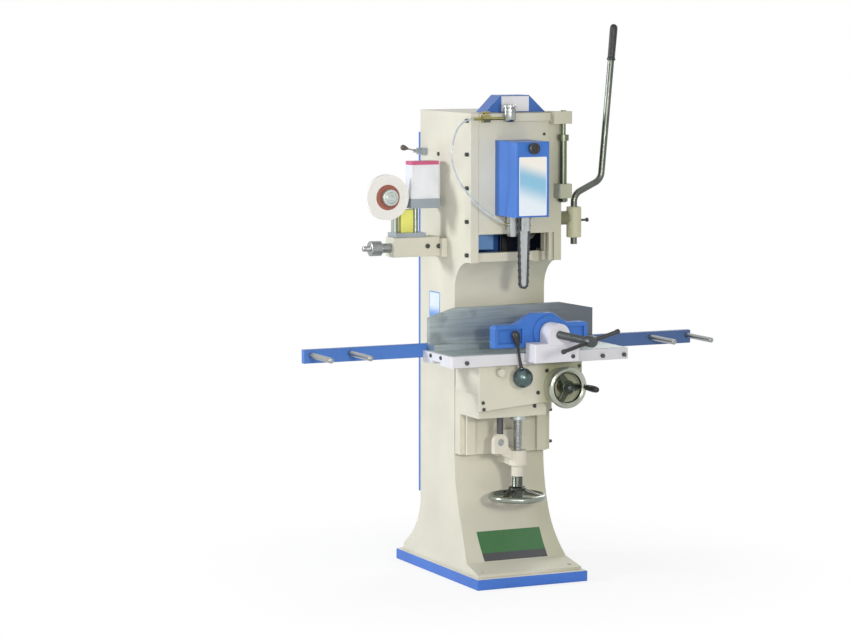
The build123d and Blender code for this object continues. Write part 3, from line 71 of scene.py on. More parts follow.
# Shading: one class for sums on sockets and for every other node
class Value:
    """A socket in a material's node tree that sums can be written with."""

    def __init__(self, tree, socket):
        self.tree = tree
        self.socket = socket

    def node(self, kind, settings=None, inputs=None, output=0):
        """Add a node, set it up, feed its sockets and give one of its outputs."""
        made = self.tree.nodes.new(kind)
        for key, value in (settings or {}).items():
            setattr(made, key, value)
        for key, value in (inputs or {}).items():
            self.feed(made.inputs[key], value)
        return Value(self.tree, made.outputs[output])

    def feed(self, socket, value):
        """Link a value to a socket, or set the socket to a plain number or colour."""
        if isinstance(value, Value):
            self.tree.links.new(value.socket, socket)
        else:
            socket.default_value = value

    def sum(self, operation, first, second=0.0):
        """A Math node on one or two values."""
        return self.node("ShaderNodeMath", {"operation": operation}, {0: first, 1: second})

    def __add__(self, other):
        return self.sum("ADD", self, other)

    def __radd__(self, other):
        return self.sum("ADD", other, self)

    def __sub__(self, other):
        return self.sum("SUBTRACT", self, other)

    def __rsub__(self, other):
        return self.sum("SUBTRACT", other, self)

    def __mul__(self, other):
        return self.sum("MULTIPLY", self, other)

    def __rmul__(self, other):
        return self.sum("MULTIPLY", other, self)

    def __gt__(self, other):
        return self.sum("GREATER_THAN", self, other)

    def __lt__(self, other):
        return self.sum("LESS_THAN", self, other)

    def length_with(self, other):
        """Length of the two as sides of a right angle."""
        return self.sum("SQRT", self * self + other * other)

    def between(self, low, high):
        """0 below the low value, 1 above the high one, smooth between them."""
        return self.node("ShaderNodeMapRange", {"interpolation_type": "SMOOTHSTEP"},
                         {"Value": self, "From Min": low, "From Max": high})

    def part(self, axis):
        """One part of a vector."""
        return self.node("ShaderNodeSeparateXYZ", None, {0: self}, axis)

    x = property(lambda self: self.part(0))
    y = property(lambda self: self.part(1))
    z = property(lambda self: self.part(2))

    def noise(self, scale, detail=3.0, stretch=(1, 1, 1)):
        """Noise over these coordinates."""
        place = self
        if stretch != (1, 1, 1):
            place = self.node("ShaderNodeMapping", None, {"Vector": self, "Scale": stretch})
        return self.node("ShaderNodeTexNoise", None,
                         {"Vector": place, "Scale": scale, "Detail": detail})

    def blend(self, low, high):
        """A colour between two, by this value."""
        return self.node("ShaderNodeMix", {"data_type": "RGBA"}, {0: self, 6: low, 7: high}, 2)


def srgb(red, green, blue):
    """A colour as a screen shows it, for a socket."""
    def line(part):
        part /= 255
        return part / 12.92 if part <= 0.04045 else ((part + 0.055) / 1.055) ** 2.4
    return (line(red), line(green), line(blue), 1.0)


def shade(colour, share):
    """A colour made darker or lighter."""
    return (*[min(1.0, part * share) for part in colour[:3]], 1.0)


def start(name):
    """A new material: its shader, its object coordinates and a maker of values."""
    material = bpy.data.materials.new(name)
    material.use_nodes = True
    tree = material.node_tree
    shader = tree.nodes["Principled BSDF"]
    maker = Value(tree, None)
    place = maker.node("ShaderNodeTexCoord", None, None, "Object")
    return material, shader, maker, place


def edges(maker, radius):
    """The normal with rounded edges, and a value that is high along sharp edges."""
    soft = maker.node("ShaderNodeBevel", {"samples": 4}, {"Radius": radius})
    plain = maker.node("ShaderNodeNewGeometry", None, None, "Normal")
    along = maker.node("ShaderNodeVectorMath", {"operation": "DOT_PRODUCT"},
                       {0: soft, 1: plain}, "Value")
    return soft, (1 - along).between(0.02, 0.22)


def relief(maker, height, distance, normal=None, strength=1.0):
    """A bump from a height value."""
    inputs = {"Height": height, "Distance": distance, "Strength": strength}
    if normal is not None:
        inputs["Normal"] = normal
    return maker.node("ShaderNodeBump", None, inputs)


def paint(name, colour, roughness=0.34, cast=0.5, wear=0.55, bare_and_shade=None, painted_shade=None):
    """Enamel on a casting or sheet: orange peel, blotches, rubbed edges, painted shade and bare
    places, some of which also stand for shade.
    """
    material, shader, maker, place = start(name)
    soft, rim = edges(maker, 0.0022)
    blotch = place.noise(5.0, 4.0)
    streak = place.noise(9.0, 4.0, (1.0, 1.0, 0.16))
    fleck = place.noise(160.0, 2.0)
    peel = place.noise(420.0, 2.0)
    lump = place.noise(60.0, 3.0)
    tone = blotch.between(0.3, 0.72).blend(shade(colour, 0.94), shade(colour, 1.04))
    tone = (streak.between(0.52, 0.78) * 0.3).blend(tone, shade(colour, 0.86))
    tone = (fleck.between(0.7, 0.78) * 0.25).blend(tone, shade(colour, 0.8))
    # Painted shade: blend towards a darker colour where a mask on the place says so
    if painted_shade:
        tone = painted_shade[0](place).blend(tone, painted_shade[1])
    rubbed = rim * place.noise(34.0, 4.0).between(0.42, 0.62) * wear
    tone = rubbed.blend(tone, shade(colour, 1.22))
    gloss = roughness + blotch * 0.12 + fleck * 0.06 - rubbed * 0.08
    # Bare steel; on the inner walls of the column this also stands for the shade inside the hollow
    if bare_and_shade:
        steel = bare_and_shade(place)
        tone = steel.blend(tone, fleck.blend(srgb(60, 63, 66), srgb(96, 98, 100)))
        maker.feed(shader.inputs["Metallic"], steel * 0.8)
    maker.feed(shader.inputs["Base Color"], tone)
    maker.feed(shader.inputs["Roughness"], gloss)
    height = peel * 0.35 + lump * cast
    bump = relief(maker, height, distance=0.0006, normal=soft, strength=0.5)
    maker.feed(shader.inputs["Normal"], bump)
    shader.inputs["Specular IOR Level"].default_value = 0.3
    shader.inputs["Coat Weight"].default_value = 0.1
    shader.inputs["Coat Roughness"].default_value = 0.12
    return material


def metal(name, colour, roughness, grain=(1, 1, 1), grain_scale=300.0, grain_depth=0.25,
          stain=0.3, painted_shade=None):
    """Machined or polished metal: tool marks along one way, stains, bright edges and any painted
    shade.
    """
    material, shader, maker, place = start(name)
    soft, rim = edges(maker, 0.0012)
    marks = place.noise(grain_scale, 4.0, grain)
    cloud = place.noise(14.0, 5.0)
    spots = place.noise(90.0, 3.0)
    tone = marks.between(0.3, 0.7).blend(shade(colour, 0.86), shade(colour, 1.08))
    tone = (cloud.between(0.5, 0.75) * stain).blend(tone, shade(colour, 0.62))
    if painted_shade:
        tone = painted_shade[0](place).blend(tone, painted_shade[1])
    tone = (rim * 0.5).blend(tone, shade(colour, 1.3))
    maker.feed(shader.inputs["Base Color"], tone)
    shader.inputs["Metallic"].default_value = 1.0
    gloss = roughness + marks * 0.14 + spots.between(0.55, 0.8) * 0.12 * stain - rim * 0.06
    maker.feed(shader.inputs["Roughness"], gloss)
    bump = relief(maker, marks, distance=0.0002, normal=soft, strength=grain_depth)
    maker.feed(shader.inputs["Normal"], bump)
    return material


def plated(name, colour, roughness, painted_shade=None):
    """Smooth plated or polished casting: a few cloudy stains, finger marks, any painted shade and
    no tool marks.
    """
    material, shader, maker, place = start(name)
    soft, rim = edges(maker, 0.0016)
    cloud = place.noise(16.0, 4.0)
    smear = place.noise(70.0, 3.0, (1.0, 1.0, 0.4))
    tone = cloud.between(0.35, 0.7).blend(shade(colour, 1.05), shade(colour, 0.82))
    if painted_shade:
        tone = painted_shade[0](place).blend(tone, painted_shade[1])
    tone = (rim * 0.3).blend(tone, shade(colour, 1.25))
    maker.feed(shader.inputs["Base Color"], tone)
    shader.inputs["Metallic"].default_value = 1.0
    gloss = roughness + smear.between(0.45, 0.75) * 0.04 + cloud * 0.04
    maker.feed(shader.inputs["Roughness"], gloss)
    maker.feed(shader.inputs["Normal"], soft)
    return material


def plastic(name, colour, roughness, texture=500.0):
    """Moulded plastic or japanned steel: fine texture, dust and shiny worn edges."""
    material, shader, maker, place = start(name)
    soft, rim = edges(maker, 0.0012)
    grain = place.noise(texture, 2.0)
    dust = place.noise(40.0, 4.0)
    tone = dust.between(0.45, 0.75).blend(colour, shade(colour, 1.5))
    tone = (rim * 0.5).blend(tone, shade(colour, 2.4))
    maker.feed(shader.inputs["Base Color"], tone)
    maker.feed(shader.inputs["Roughness"], roughness + dust * 0.15 - rim * 0.1)
    bump = relief(maker, grain, distance=0.0003, normal=soft, strength=0.3)
    maker.feed(shader.inputs["Normal"], bump)
    return material


def hollow(place):
    """1 on the inner walls of the column, drawn as dark bare casting that is partly painted shade
    inside the hollow.
    """
    side, back, roof = 0.158, 0.192, 1.542
    front, head_front, sill = -0.04, -0.132, 1.0895
    across, deep, up = place.x, place.y, place.z
    walls = (across > -side) * (across < side) * (deep < back) * (up < roof)
    return walls * place.sum("MAXIMUM", deep > front, (deep > head_front) * (up > sill))


# Planes where a finish changes, in metres: bare screw heads, the foot of the guide post, and the
# seams between two paints
keeper_screws, boss_screw, frame_screws = 0.1663, 0.2995, -0.3353
post_foot = 0.4952
lid_seam, base_seam, hood_plate = 1.3746, 0.0345, -0.1602

# Paints; painted shade makes the cream, the saddle and the beam a little darker towards the right,
# where the light falls off
body_cream = srgb(210, 207, 191)
right_shade = (lambda place: place.x.between(0.02, 0.18) * 0.65, srgb(178, 178, 152))
saddle_right_shade = (lambda place: place.x.between(0.0, 0.07) * 0.85, srgb(158, 160, 130))
beam_right_shade = (lambda place: place.x.between(0.0, 0.3) * 0.75, srgb(74, 94, 128))
cream = paint("cream_enamel", body_cream, painted_shade=right_shade)
# Column enamel, with dark bare steel on its inner walls as partly painted shade
column_cream = paint("column_enamel", body_cream, painted_shade=right_shade, bare_and_shade=hollow)
keeper_cream = paint("keeper_enamel", srgb(208, 204, 186), painted_shade=right_shade,
                     bare_and_shade=lambda place: place.x > keeper_screws)
saddle_cream = paint("saddle_enamel", body_cream, painted_shade=saddle_right_shade)
boss_cream = paint("boss_enamel", srgb(194, 193, 164), bare_and_shade=lambda place: place.x > boss_screw)
post_cream = paint("bracket_enamel", srgb(208, 204, 190), bare_and_shade=lambda place: place.z > post_foot)
stop_cream = paint("stop_enamel", srgb(176, 178, 154))
blue = paint("blue_enamel", srgb(62, 114, 194), 0.3, cast=0.25)
beam_blue = paint("beam_enamel", srgb(70, 116, 190), 0.34, cast=0.25, painted_shade=beam_right_shade)
# Painted light: a paler, brighter blue for the terminal box, which sits in shade inside the column
lit_blue = paint("lit_blue_enamel", srgb(134, 184, 250), 0.32, cast=0.25)
white = paint("white_enamel", srgb(216, 215, 222), 0.32, cast=0.4, wear=0.4)
frame_white = paint("table_enamel", srgb(212, 212, 216), 0.32, cast=0.4, wear=0.4,
                    bare_and_shade=lambda place: place.y < frame_screws)
grey_blue = paint("grey_blue_enamel", srgb(150, 160, 168), 0.36)
# Painted shade: a dark olive stands in for the shaded cream of the feed bearing
bearing_shade = paint("bearing_shade_enamel", srgb(118, 118, 92), 0.4)
yellow = paint("yellow_enamel", srgb(230, 228, 120), 0.4, cast=0.3)

# Metals and plastics; tool marks run one way, and painted shade makes the fence darker towards the
# right
along_x, along_z, across_x, turned_marks = (0.02, 1, 1), (1, 1, 0.04), (1, 0.3, 0.3), (0.3, 0.3, 1)
fence_right_shade = (lambda place: place.x.between(-0.12, 0.26) * 0.85, srgb(82, 88, 98))
ground_iron = metal("ground_iron", srgb(178, 187, 185), 0.34, along_x, 260.0, 0.3, stain=0.7)
fence_iron = metal("fence_iron", srgb(170, 180, 180), 0.36, along_x, 240.0, 0.3, stain=0.8,
                   painted_shade=fence_right_shade)
turned_steel = metal("turned_steel", srgb(160, 163, 161), 0.28, turned_marks, 420.0)
bar_steel = metal("bar_steel", srgb(186, 190, 190), 0.26, along_z, 300.0, 0.2)
cap_steel = metal("cap_steel", srgb(192, 200, 196), 0.34, turned_marks, 420.0)
olive_steel = metal("oiled_steel", srgb(112, 119, 99), 0.3, (1, 1, 0.06), 320.0, 0.2, stain=0.4)
dark_steel = metal("dark_steel", srgb(84, 87, 88), 0.36, (1, 1, 1), 260.0, 0.2, stain=0.5)
chain_steel = metal("chain_steel", srgb(84, 86, 88), 0.34, (1, 1, 1), 360.0, 0.2, stain=0.6)
brass = metal("brass", srgb(158, 150, 98), 0.3, across_x, 380.0)
black = plastic("black_plastic", srgb(30, 31, 33), 0.32)
black_steel = plastic("blackened_steel", srgb(36, 37, 39), 0.42, texture=260.0)
brown = plastic("brown_plastic", srgb(88, 80, 74), 0.36)


# Plating; painted shade makes both handwheels darker inside their rims, over the recessed hubs and
# arms
def inside_front_rim(place):
    """1 within the rim of the front wheel, where shade is painted."""
    reach = (place.x - front_wheel_x * mm).length_with(place.z - front_wheel_z * mm)
    return reach < 0.0505


def inside_low_rim(place):
    """1 within the rim of the elevating wheel, where shade is painted, fading out on the rim."""
    reach = (place.x - lift_x * mm).length_with(place.y - lift_y * mm)
    return 1 - reach.between(0.072, 0.09)


hand_chrome = plated("hand_wheel_plating", srgb(172, 177, 163), 0.2,
                     (inside_front_rim, srgb(74, 80, 68)))
low_chrome = plated("low_wheel_plating", srgb(146, 152, 142), 0.2,
                    (inside_low_rim, srgb(80, 84, 78)))
bright_chrome = plated("bright_plating", srgb(156, 160, 158), 0.24)
lever_chrome = plated("lever_plating", srgb(100, 104, 98), 0.27)
dark_chrome = plated("dark_plating", srgb(92, 108, 108), 0.24)


def hose_finish():
    """Clear plastic tube with oil inside: pale, glossy, a little clouded."""
    material, shader, maker, place = start("clear_hose")
    cloud = place.noise(60.0, 3.0)
    tone = cloud.between(0.35, 0.7).blend(srgb(176, 188, 196), srgb(214, 220, 222))
    maker.feed(shader.inputs["Base Color"], tone)
    maker.feed(shader.inputs["Roughness"], 0.16 + cloud * 0.12)
    shader.inputs["Coat Weight"].default_value = 0.4
    shader.inputs["Alpha"].default_value = 0.72
    return material


def stone_finish():
    """White grinding stone with a brown paper ring round its middle."""
    material, shader, maker, place = start("grinding_stone")
    low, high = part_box("grinding_wheel")
    across = place.x - (low.x + high.x) / 2
    up = place.z - (low.z + high.z) / 2
    paper_reach = 0.042
    ring = across.length_with(up) < paper_reach
    grit = place.noise(900.0, 2.0)
    pores = place.node("ShaderNodeTexVoronoi", None, {"Vector": place, "Scale": 700.0})
    tone = grit.between(0.35, 0.7).blend(srgb(222, 219, 214), srgb(246, 244, 240))
    fibre = place.noise(120.0, 3.0).between(0.3, 0.7)
    paper = fibre.blend(srgb(142, 80, 66), srgb(166, 100, 84))
    maker.feed(shader.inputs["Base Color"], ring.blend(tone, paper))
    maker.feed(shader.inputs["Roughness"], 0.92 - ring * 0.25)
    bump = relief(maker, (grit + pores) * (1 - ring), distance=0.0008, strength=0.6)
    maker.feed(shader.inputs["Normal"], bump)
    return material


def parted(name, test, first, second, roughness=0.32, steel=0.0):
    """Sheet or casting in two paints, or in paint and bare steel, split by a test on the place."""
    material, shader, maker, place = start(name)
    soft, rim = edges(maker, 0.0018)
    blotch = place.noise(9.0, 4.0)
    peel = place.noise(360.0, 2.0)
    scuff = place.noise(30.0, 5.0)
    cloud = blotch.between(0.3, 0.7)
    tone = test(place).blend(cloud.blend(shade(first, 0.93), shade(first, 1.05)),
                             cloud.blend(shade(second, 0.93), shade(second, 1.05)))
    tone = (scuff.between(0.64, 0.76) * 0.25).blend(tone, srgb(170, 168, 162))
    tone = (rim * scuff.between(0.4, 0.6) * 0.5).blend(tone, srgb(228, 230, 234))
    maker.feed(shader.inputs["Base Color"], tone)
    maker.feed(shader.inputs["Roughness"], roughness + blotch * 0.14)
    if steel:
        maker.feed(shader.inputs["Metallic"], test(place) * steel)
    bump = relief(maker, peel + scuff * 0.4, distance=0.0004, normal=soft, strength=0.4)
    maker.feed(shader.inputs["Normal"], bump)
    shader.inputs["Specular IOR Level"].default_value = 0.3
    shader.inputs["Coat Weight"].default_value = 0.1
    return material


rest_low, rest_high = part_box("chain_rest")


def posts(place):
    """1 on the steel posts between the two plates of the sharpener's carriage."""
    above_foot = place.z.between(rest_low.z, rest_low.z + 0.0002)
    above_head = place.z.between(rest_high.z + 0.0046, rest_high.z + 0.0048)
    return above_foot * (1 - above_head)


motor_box = parted("motor_box_enamel", lambda place: place.z > lid_seam,
                   srgb(224, 226, 232), srgb(200, 90, 130))
carriage_enamel = parted("carriage_enamel", posts, srgb(150, 160, 168), srgb(150, 157, 150),
                         0.24, steel=0.9)
base_enamel = parted("base_enamel", lambda place: place.z > base_seam,
                     srgb(66, 114, 198), srgb(216, 212, 204), 0.4)
hood_enamel = parted("hood_enamel", lambda place: place.y < hood_plate,
                     srgb(66, 108, 182), srgb(224, 224, 230), 0.3)

finish_of = {
    column_cream: ["column_casting"],
    cream: ["head_keepers", "sharpener_bracket", "slide_plate", "knee_casting"],
    saddle_cream: ["saddle"],
    keeper_cream: ["knee_keepers"],
    boss_cream: ["lever_boss"],
    stop_cream: ["stop_block"],
    post_cream: ["elevating_bracket"],
    blue: ["rear_panel", "chain_cover", "clamp_jaw"],
    beam_blue: ["support_beam"],
    lit_blue: ["terminal_box"],
    white: ["clamp_bracket"],
    frame_white: ["table_frame"],
    grey_blue: ["switch_block"],
    carriage_enamel: ["grinder_carriage"],
    bearing_shade: ["feed_bearing"],
    yellow: ["chain_rest"],
    ground_iron: ["table_top", "feed_rack", "table_rack", "feed_nuts", "balance_drum"],
    fence_iron: ["fence"],
    turned_steel: ["sprocket", "motor_shaft", "feed_shaft", "elevating_screw", "cross_screw",
                   "table_pinion", "wheel_spindle", "balance_chain", "support_rods",
                   "grinder_knob"],
    olive_steel: ["stop_rod"],
    bar_steel: ["guide_bar", "bar_holder"],
    dark_steel: ["column_bolts"],
    chain_steel: ["mortise_chain"],
    hand_chrome: ["front_wheel"],
    low_chrome: ["elevating_wheel"],
    lever_chrome: ["lever_rod"],
    bright_chrome: ["oil_reservoir"],
    dark_chrome: ["table_lever"],
    brass: ["oil_valve"],
    black: ["lever_grip", "lever_knob", "cover_knob", "wheel_handle", "switch_lever"],
    black_steel: ["clamp_screw", "motor_housing"],
    hose_finish(): ["oil_hose"],
    stone_finish(): ["grinding_wheel"],
    motor_box: ["grinder_motor"],
    base_enamel: ["base_plate"],
    hood_enamel: ["balance_hood"],
}
for material, names in finish_of.items():
    for name in names:
        nodes[name].data.materials.clear()
        nodes[name].data.materials.append(material)


# Modelling by hand: primitives drawn out in edit mode, one piece at a time, sizes in millimetres
def alone(piece=None):
    """Leave edit mode, and select one piece or none."""
    if bpy.context.object and bpy.context.object.mode == "EDIT":
        bpy.ops.object.mode_set(mode="OBJECT")
    bpy.ops.object.select_all(action="DESELECT")
    if piece:
        piece.select_set(True)
        bpy.context.view_layer.objects.active = piece


def begun(name):
    """Name the primitive just added, apply its place and open it for editing."""
    piece = bpy.context.object
    piece.name = piece.data.name = name
    bpy.ops.object.transform_apply(location=True, rotation=True, scale=True)
    bpy.ops.object.mode_set(mode="EDIT")
    return piece


def block(name, lows, highs):
    """A block between two corners, open for editing."""
    alone()
    middle = [(low + high) / 2 * mm for low, high in zip(lows, highs)]
    sides = [(high - low) * mm for low, high in zip(lows, highs)]
    bpy.ops.mesh.primitive_cube_add(size=1, location=middle, scale=sides)
    return begun(name)


def sheet(name, place, sides):
    """An upright sheet that faces the front, with its middle at a place, open for editing."""
    alone()
    bpy.ops.mesh.primitive_plane_add(size=1, location=Vector(place) * mm, rotation=(pi / 2, 0, 0))
    bpy.context.object.scale = (sides[0] * mm, sides[1] * mm, 1)
    return begun(name)


def removed(piece):
    """Delete a piece whose copies or cuts are made."""
    alone(piece)
    bpy.ops.object.delete()


def opened(piece, kind):
    """Open a piece for editing by faces or edges, with none selected, and give its mesh."""
    alone(piece)
    bpy.ops.object.mode_set(mode="EDIT")
    bpy.ops.mesh.select_mode(type=kind)
    bpy.ops.mesh.select_all(action="DESELECT")
    return bmesh.from_edit_mesh(piece.data)


def pick(piece, test):
    """Select the faces whose middle, in millimetres, and normal pass a test."""
    mesh = opened(piece, "FACE")
    for face in mesh.faces:
        if test(face.calc_center_median() / mm, face.normal):
            face.select_set(True)
    bmesh.update_edit_mesh(piece.data)


def pick_edges(piece, test):
    """Select the edges whose middle, in millimetres, and direction pass a test."""
    mesh = opened(piece, "EDGE")
    for edge in mesh.edges:
        first, second = [point.co for point in edge.verts]
        if test((first + second) / 2 / mm, (second - first).normalized()):
            edge.select_set(True)
    bmesh.update_edit_mesh(piece.data)


def closed(piece):
    """Merge what lies together, close open ends and turn every face outwards."""
    alone(piece)
    bpy.ops.object.mode_set(mode="EDIT")
    bpy.ops.mesh.select_all(action="SELECT")
    bpy.ops.mesh.remove_doubles(threshold=0.000005)
    bpy.ops.mesh.fill_holes(sides=0)
    bpy.ops.mesh.select_all(action="SELECT")
    bpy.ops.mesh.normals_make_consistent(inside=False)
    bpy.ops.object.mode_set(mode="OBJECT")
    return piece


def turned(name, steps, segments=48):
    """A lathe shape along Z: a disc drawn up through heights and radii."""
    alone()
    height, radius = steps[0]
    bpy.ops.mesh.primitive_circle_add(vertices=segments, radius=radius * mm, fill_type="NGON",
                                      location=(0, 0, height * mm))
    piece = begun(name)
    for next_height, next_radius in steps[1:]:
        bpy.ops.mesh.extrude_region_move(
            TRANSFORM_OT_translate={"value": (0, 0, (next_height - height) * mm)})
        share = next_radius / radius
        bpy.ops.transform.resize(value=(share, share, 1))
        height, radius = next_height, next_radius
    return closed(piece)


def ball(radius, low=-1.0, high=1.0, rings=16):
    """Heights and radii of a ball between two shares of its height."""
    first, last = acos(-low), acos(-high)
    turns = [first + (last - first) * ring / rings for ring in range(rings + 1)]
    return [(-radius * cos(turn), max(0.4, radius * sin(turn))) for turn in turns]


def laid(piece, place, along=(0, 0, 1), spin=0.0):
    """Stand a piece that was made along Z at a place, its Z along a direction."""
    alone(piece)
    tilt = Vector((0, 0, 1)).rotation_difference(Vector(along)).to_matrix()
    piece.rotation_euler = (tilt @ Matrix.Rotation(spin, 3, "Z")).to_euler()
    piece.location = Vector(place) * mm
    bpy.ops.object.transform_apply(location=True, rotation=True, scale=True)
    return piece


def copied(piece):
    """A copy of a piece with its own mesh."""
    alone(piece)
    bpy.ops.object.duplicate()
    return bpy.context.object


def joined(pieces, name=None):
    """Several shells as one piece, under the first one's name or a new one."""
    alone(pieces[0])
    for piece in pieces[1:]:
        piece.select_set(True)
    bpy.ops.object.join()
    if name:
        pieces[0].name = pieces[0].data.name = name
    return pieces[0]


def modified(piece, kind, **settings):
    """Add a modifier, set it and apply it."""
    alone(piece)
    modifier = piece.modifiers.new(kind.lower(), kind)
    for key, value in settings.items():
        setattr(modifier, key, value)
    bpy.ops.object.modifier_apply(modifier=modifier.name)
    return piece


def rounded(piece, width, segments=2, angle=35):
    """Round the sharp edges of a piece."""
    return modified(piece, "BEVEL", width=width * mm, segments=segments, limit_method="ANGLE",
                    angle_limit=radians(angle), use_clamp_overlap=True)


def merged(piece, others, operation="UNION"):
    """Fuse other shells into a piece, or cut them out of it."""
    for other in others:
        modified(piece, "BOOLEAN", operation=operation, object=other, solver="EXACT")
        removed(other)
    return piece


def fluted(piece, low, high, segments, depth, edge=0.25):
    """Sink one panel of every three into the wall of a lathe shape between two heights."""
    def wanted(middle, normal):
        sector = int((atan2(middle.y, middle.x) / (2 * pi) + 1) * segments)
        return low < middle.z < high and abs(normal.z) < 0.5 and sector % 3 == 1
    pick(piece, wanted)
    bpy.ops.mesh.inset(thickness=edge * mm, depth=-depth * mm)
    return closed(piece)


def softened(piece, test, width, segments=2):
    """Round the edges whose middle, in millimetres, and direction pass a test."""
    pick_edges(piece, test)
    bpy.ops.mesh.bevel(offset=width * mm, segments=segments, affect="EDGES")
    return closed(piece)


def fitted(piece, body, material, stands_for=None, angle=38):
    """Give a finished piece its finish, its body and the node that it stands for."""
    alone(piece)
    bpy.ops.object.shade_smooth_by_angle(angle=radians(angle))
    piece.data.materials.clear()
    piece.data.materials.append(material)
    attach(piece, body)
    if stands_for:
        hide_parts(stands_for)
    return piece


# Handwheels: a drawn rim, three tapered arms and a turned hub, fused into one casting
def handwheel(name, reach, rim, hub, arm_root, arm_wide, rise):
    """A three-armed wheel about Z, of a reach and rim thickness, whose arms rise to the hub."""
    alone()
    bpy.ops.mesh.primitive_torus_add(major_radius=(reach - rim) * mm, minor_radius=rim * mm,
                                     major_segments=96, minor_segments=24)
    wheel = begun(name)
    pick(wheel, lambda middle, normal: Vector(middle.xy).length < reach - 1.4 * rim)
    bpy.ops.transform.resize(value=(1, 1, 0.82))
    wheel = closed(wheel)
    arm = block("arm", (arm_root - 6, -arm_wide / 2, rise - 0.45 * rim),
                (reach - rim, arm_wide / 2, rise + 0.45 * rim))
    pick(arm, lambda middle, normal: normal.x > 0.9)
    bpy.ops.transform.resize(value=(1, 0.68, 0.85))
    bpy.ops.transform.translate(value=(0, 0, -rise * mm))
    arm = rounded(closed(arm), 0.3 * rim, 3)
    arms = [laid(copied(arm), (0, 0, 0), spin=radians(90 + 120 * turn)) for turn in range(3)]
    removed(arm)
    return merged(wheel, [turned("hub", hub), *arms])


front_hub = [(-34.7, 20), (-33.5, 22), (-12, 24), (2, 24), (9, 23), (11, 21), (11, 17), (8.5, 15),
             (8.5, 9.3)]
front_wheel = handwheel("front_wheel_casting", reach=69.5, rim=11.0, hub=front_hub, arm_root=19,
                        arm_wide=27, rise=2)
laid(front_wheel, (front_wheel_x, -355, front_wheel_z), to_front, -pi / 2)
fitted(front_wheel, "cross_wheel_body", hand_chrome, "front_wheel")

low_hub = [(-10, 17), (-8, 19), (6, 19), (22, 30), (30, 30), (33, 27), (34, 19), (36, 17.5),
           (66, 17.5), (68.4, 16), (68.4, 11.2)]
low_wheel = handwheel("elevating_wheel_casting", reach=97.5, rim=10.0, hub=low_hub, arm_root=24,
                      arm_wide=30, rise=24)
laid(low_wheel, (lift_x, lift_y, 282))
fitted(low_wheel, "elevator_body", low_chrome, "elevating_wheel")

# Nut on the end of the cross screw
wheel_nut = turned("front_wheel_nut", [
    (0, 11), (1, 12), (2, 12), (2, 10.5), (9, 10.5), (11, 9.2), (14, 6.5), (15.5, 3),
    (16, 0.6)], 36)
laid(wheel_nut, (front_wheel_x, -363.5, front_wheel_z), to_front)
fitted(wheel_nut, "cross_wheel_body", dark_steel)

# Handle of the front wheel, with its small end
handle = turned("front_wheel_handle", [
    (0, 6), (12, 6), (12, 8.2), (13.5, 9.2), (20, 9.6), (42, 10.6), (60, 11), (74, 10.4), (82, 9.2),
    (86, 7.2), (87, 5.5), (87, 4.5), (89.5, 4.2), (90, 3), (90, 0.5)])
laid(handle, (164.5, -366, front_wheel_z), to_front)
fitted(handle, "cross_wheel_body", black, "wheel_handle")

# Grip on the feed lever: flange, long flutes and a domed end
grip = turned("feed_lever_grip", [
    (0, 11.3), (0, 13), (1.5, 14.8), (6, 14.8), (8, 13.2), (12, 12.4), (16, 12.4), (40, 12.6),
    (64, 12.8), (88, 13), (104, 13), (110, 12.6), (115, 11.4), (118.5, 9.2), (120.8, 6), (121.8, 3),
    (122, 0.6)], 60)
fluted(grip, low=16, high=104, segments=60, depth=0.9, edge=0.35)
laid(grip, (412, -75, 1715), (36, 0, 399))
fitted(grip, "feed_lever_body", black, "lever_grip")

# Table lever: dark plated ball, black stem and a pear-shaped knob
lever_way = Vector((-24, 0, 130)).normalized()
lever_foot = Vector((-56, -352, 696))
lever_neck = [(31.5, 9.5), (34, 9), (34, 5.4)]
lever_ball = turned("table_lever_ball", ball(33, -1, 0.93, 24) + lever_neck, 64)
laid(lever_ball, lever_foot, lever_way)
fitted(lever_ball, "table_lever_body", dark_chrome, "table_lever")
stem = turned("table_lever_stem", [
    (30, 6.2), (38, 6.2), (44, 5), (104, 4.6), (107, 5.6), (110, 5.6)], 32)
laid(stem, lever_foot, lever_way)
fitted(stem, "table_lever_body", black)
knob = turned("table_lever_knob", [
    (-26, 5.8), (-25, 7), (-21, 7.6), (-15, 8.8), (-8, 11), (0, 13), (6, 13.9), (11, 14), (16, 13),
    (20, 11), (23.4, 8), (25.4, 4.4), (26, 0.8)], 40)
laid(knob, lever_foot + lever_way * 132.2, lever_way)
fitted(knob, "table_lever_body", black, "lever_knob")

# Hand knob of the chain cover
cover_knob = turned("cover_hand_knob", [
    (0, 6), (8, 6), (8, 16), (9.2, 18.4), (11, 19), (18, 19), (20.4, 18), (21.8, 15.4), (22, 12.5),
    (20.8, 11), (20.8, 5), (21.6, 4.4), (21.6, 0.6)], 60)
fluted(cover_knob, low=11, high=18, segments=60, depth=0.8, edge=0.3)
laid(cover_knob, (-20, -344, 1440), to_front)
fitted(cover_knob, "head_body", black, "cover_knob")


# Screw threads: a ridge carried round and up by a screw modifier
def thread(name, root, crest, pitch, low, high):
    """A trapezoid thread about Z between two heights."""
    flank = (root + crest) / 2
    ridge = sheet(name, (flank, 0, low), (crest - root, 0.72 * pitch))
    pick_edges(ridge, lambda middle, way: abs(way.z) > 0.9 and middle.x > flank)
    bpy.ops.transform.resize(value=(1, 1, 0.5))
    turns = int((high - low) / pitch)
    modified(ridge, "SCREW", axis="Z", screw_offset=pitch * mm, iterations=turns,
             steps=20, render_steps=20)
    return closed(ridge)


lift_screw = joined([
    turned("elevating_screw_thread", [
        (268, 9.5), (269.5, 11), (438.3, 11), (438.3, 13), (590, 13), (594, 11.5)]),
    thread("lift_ridge", root=12.6, crest=15, pitch=7.0, low=445, high=582)])
laid(lift_screw, (lift_x, lift_y, 0))
fitted(lift_screw, "elevator_body", turned_steel, "elevating_screw")

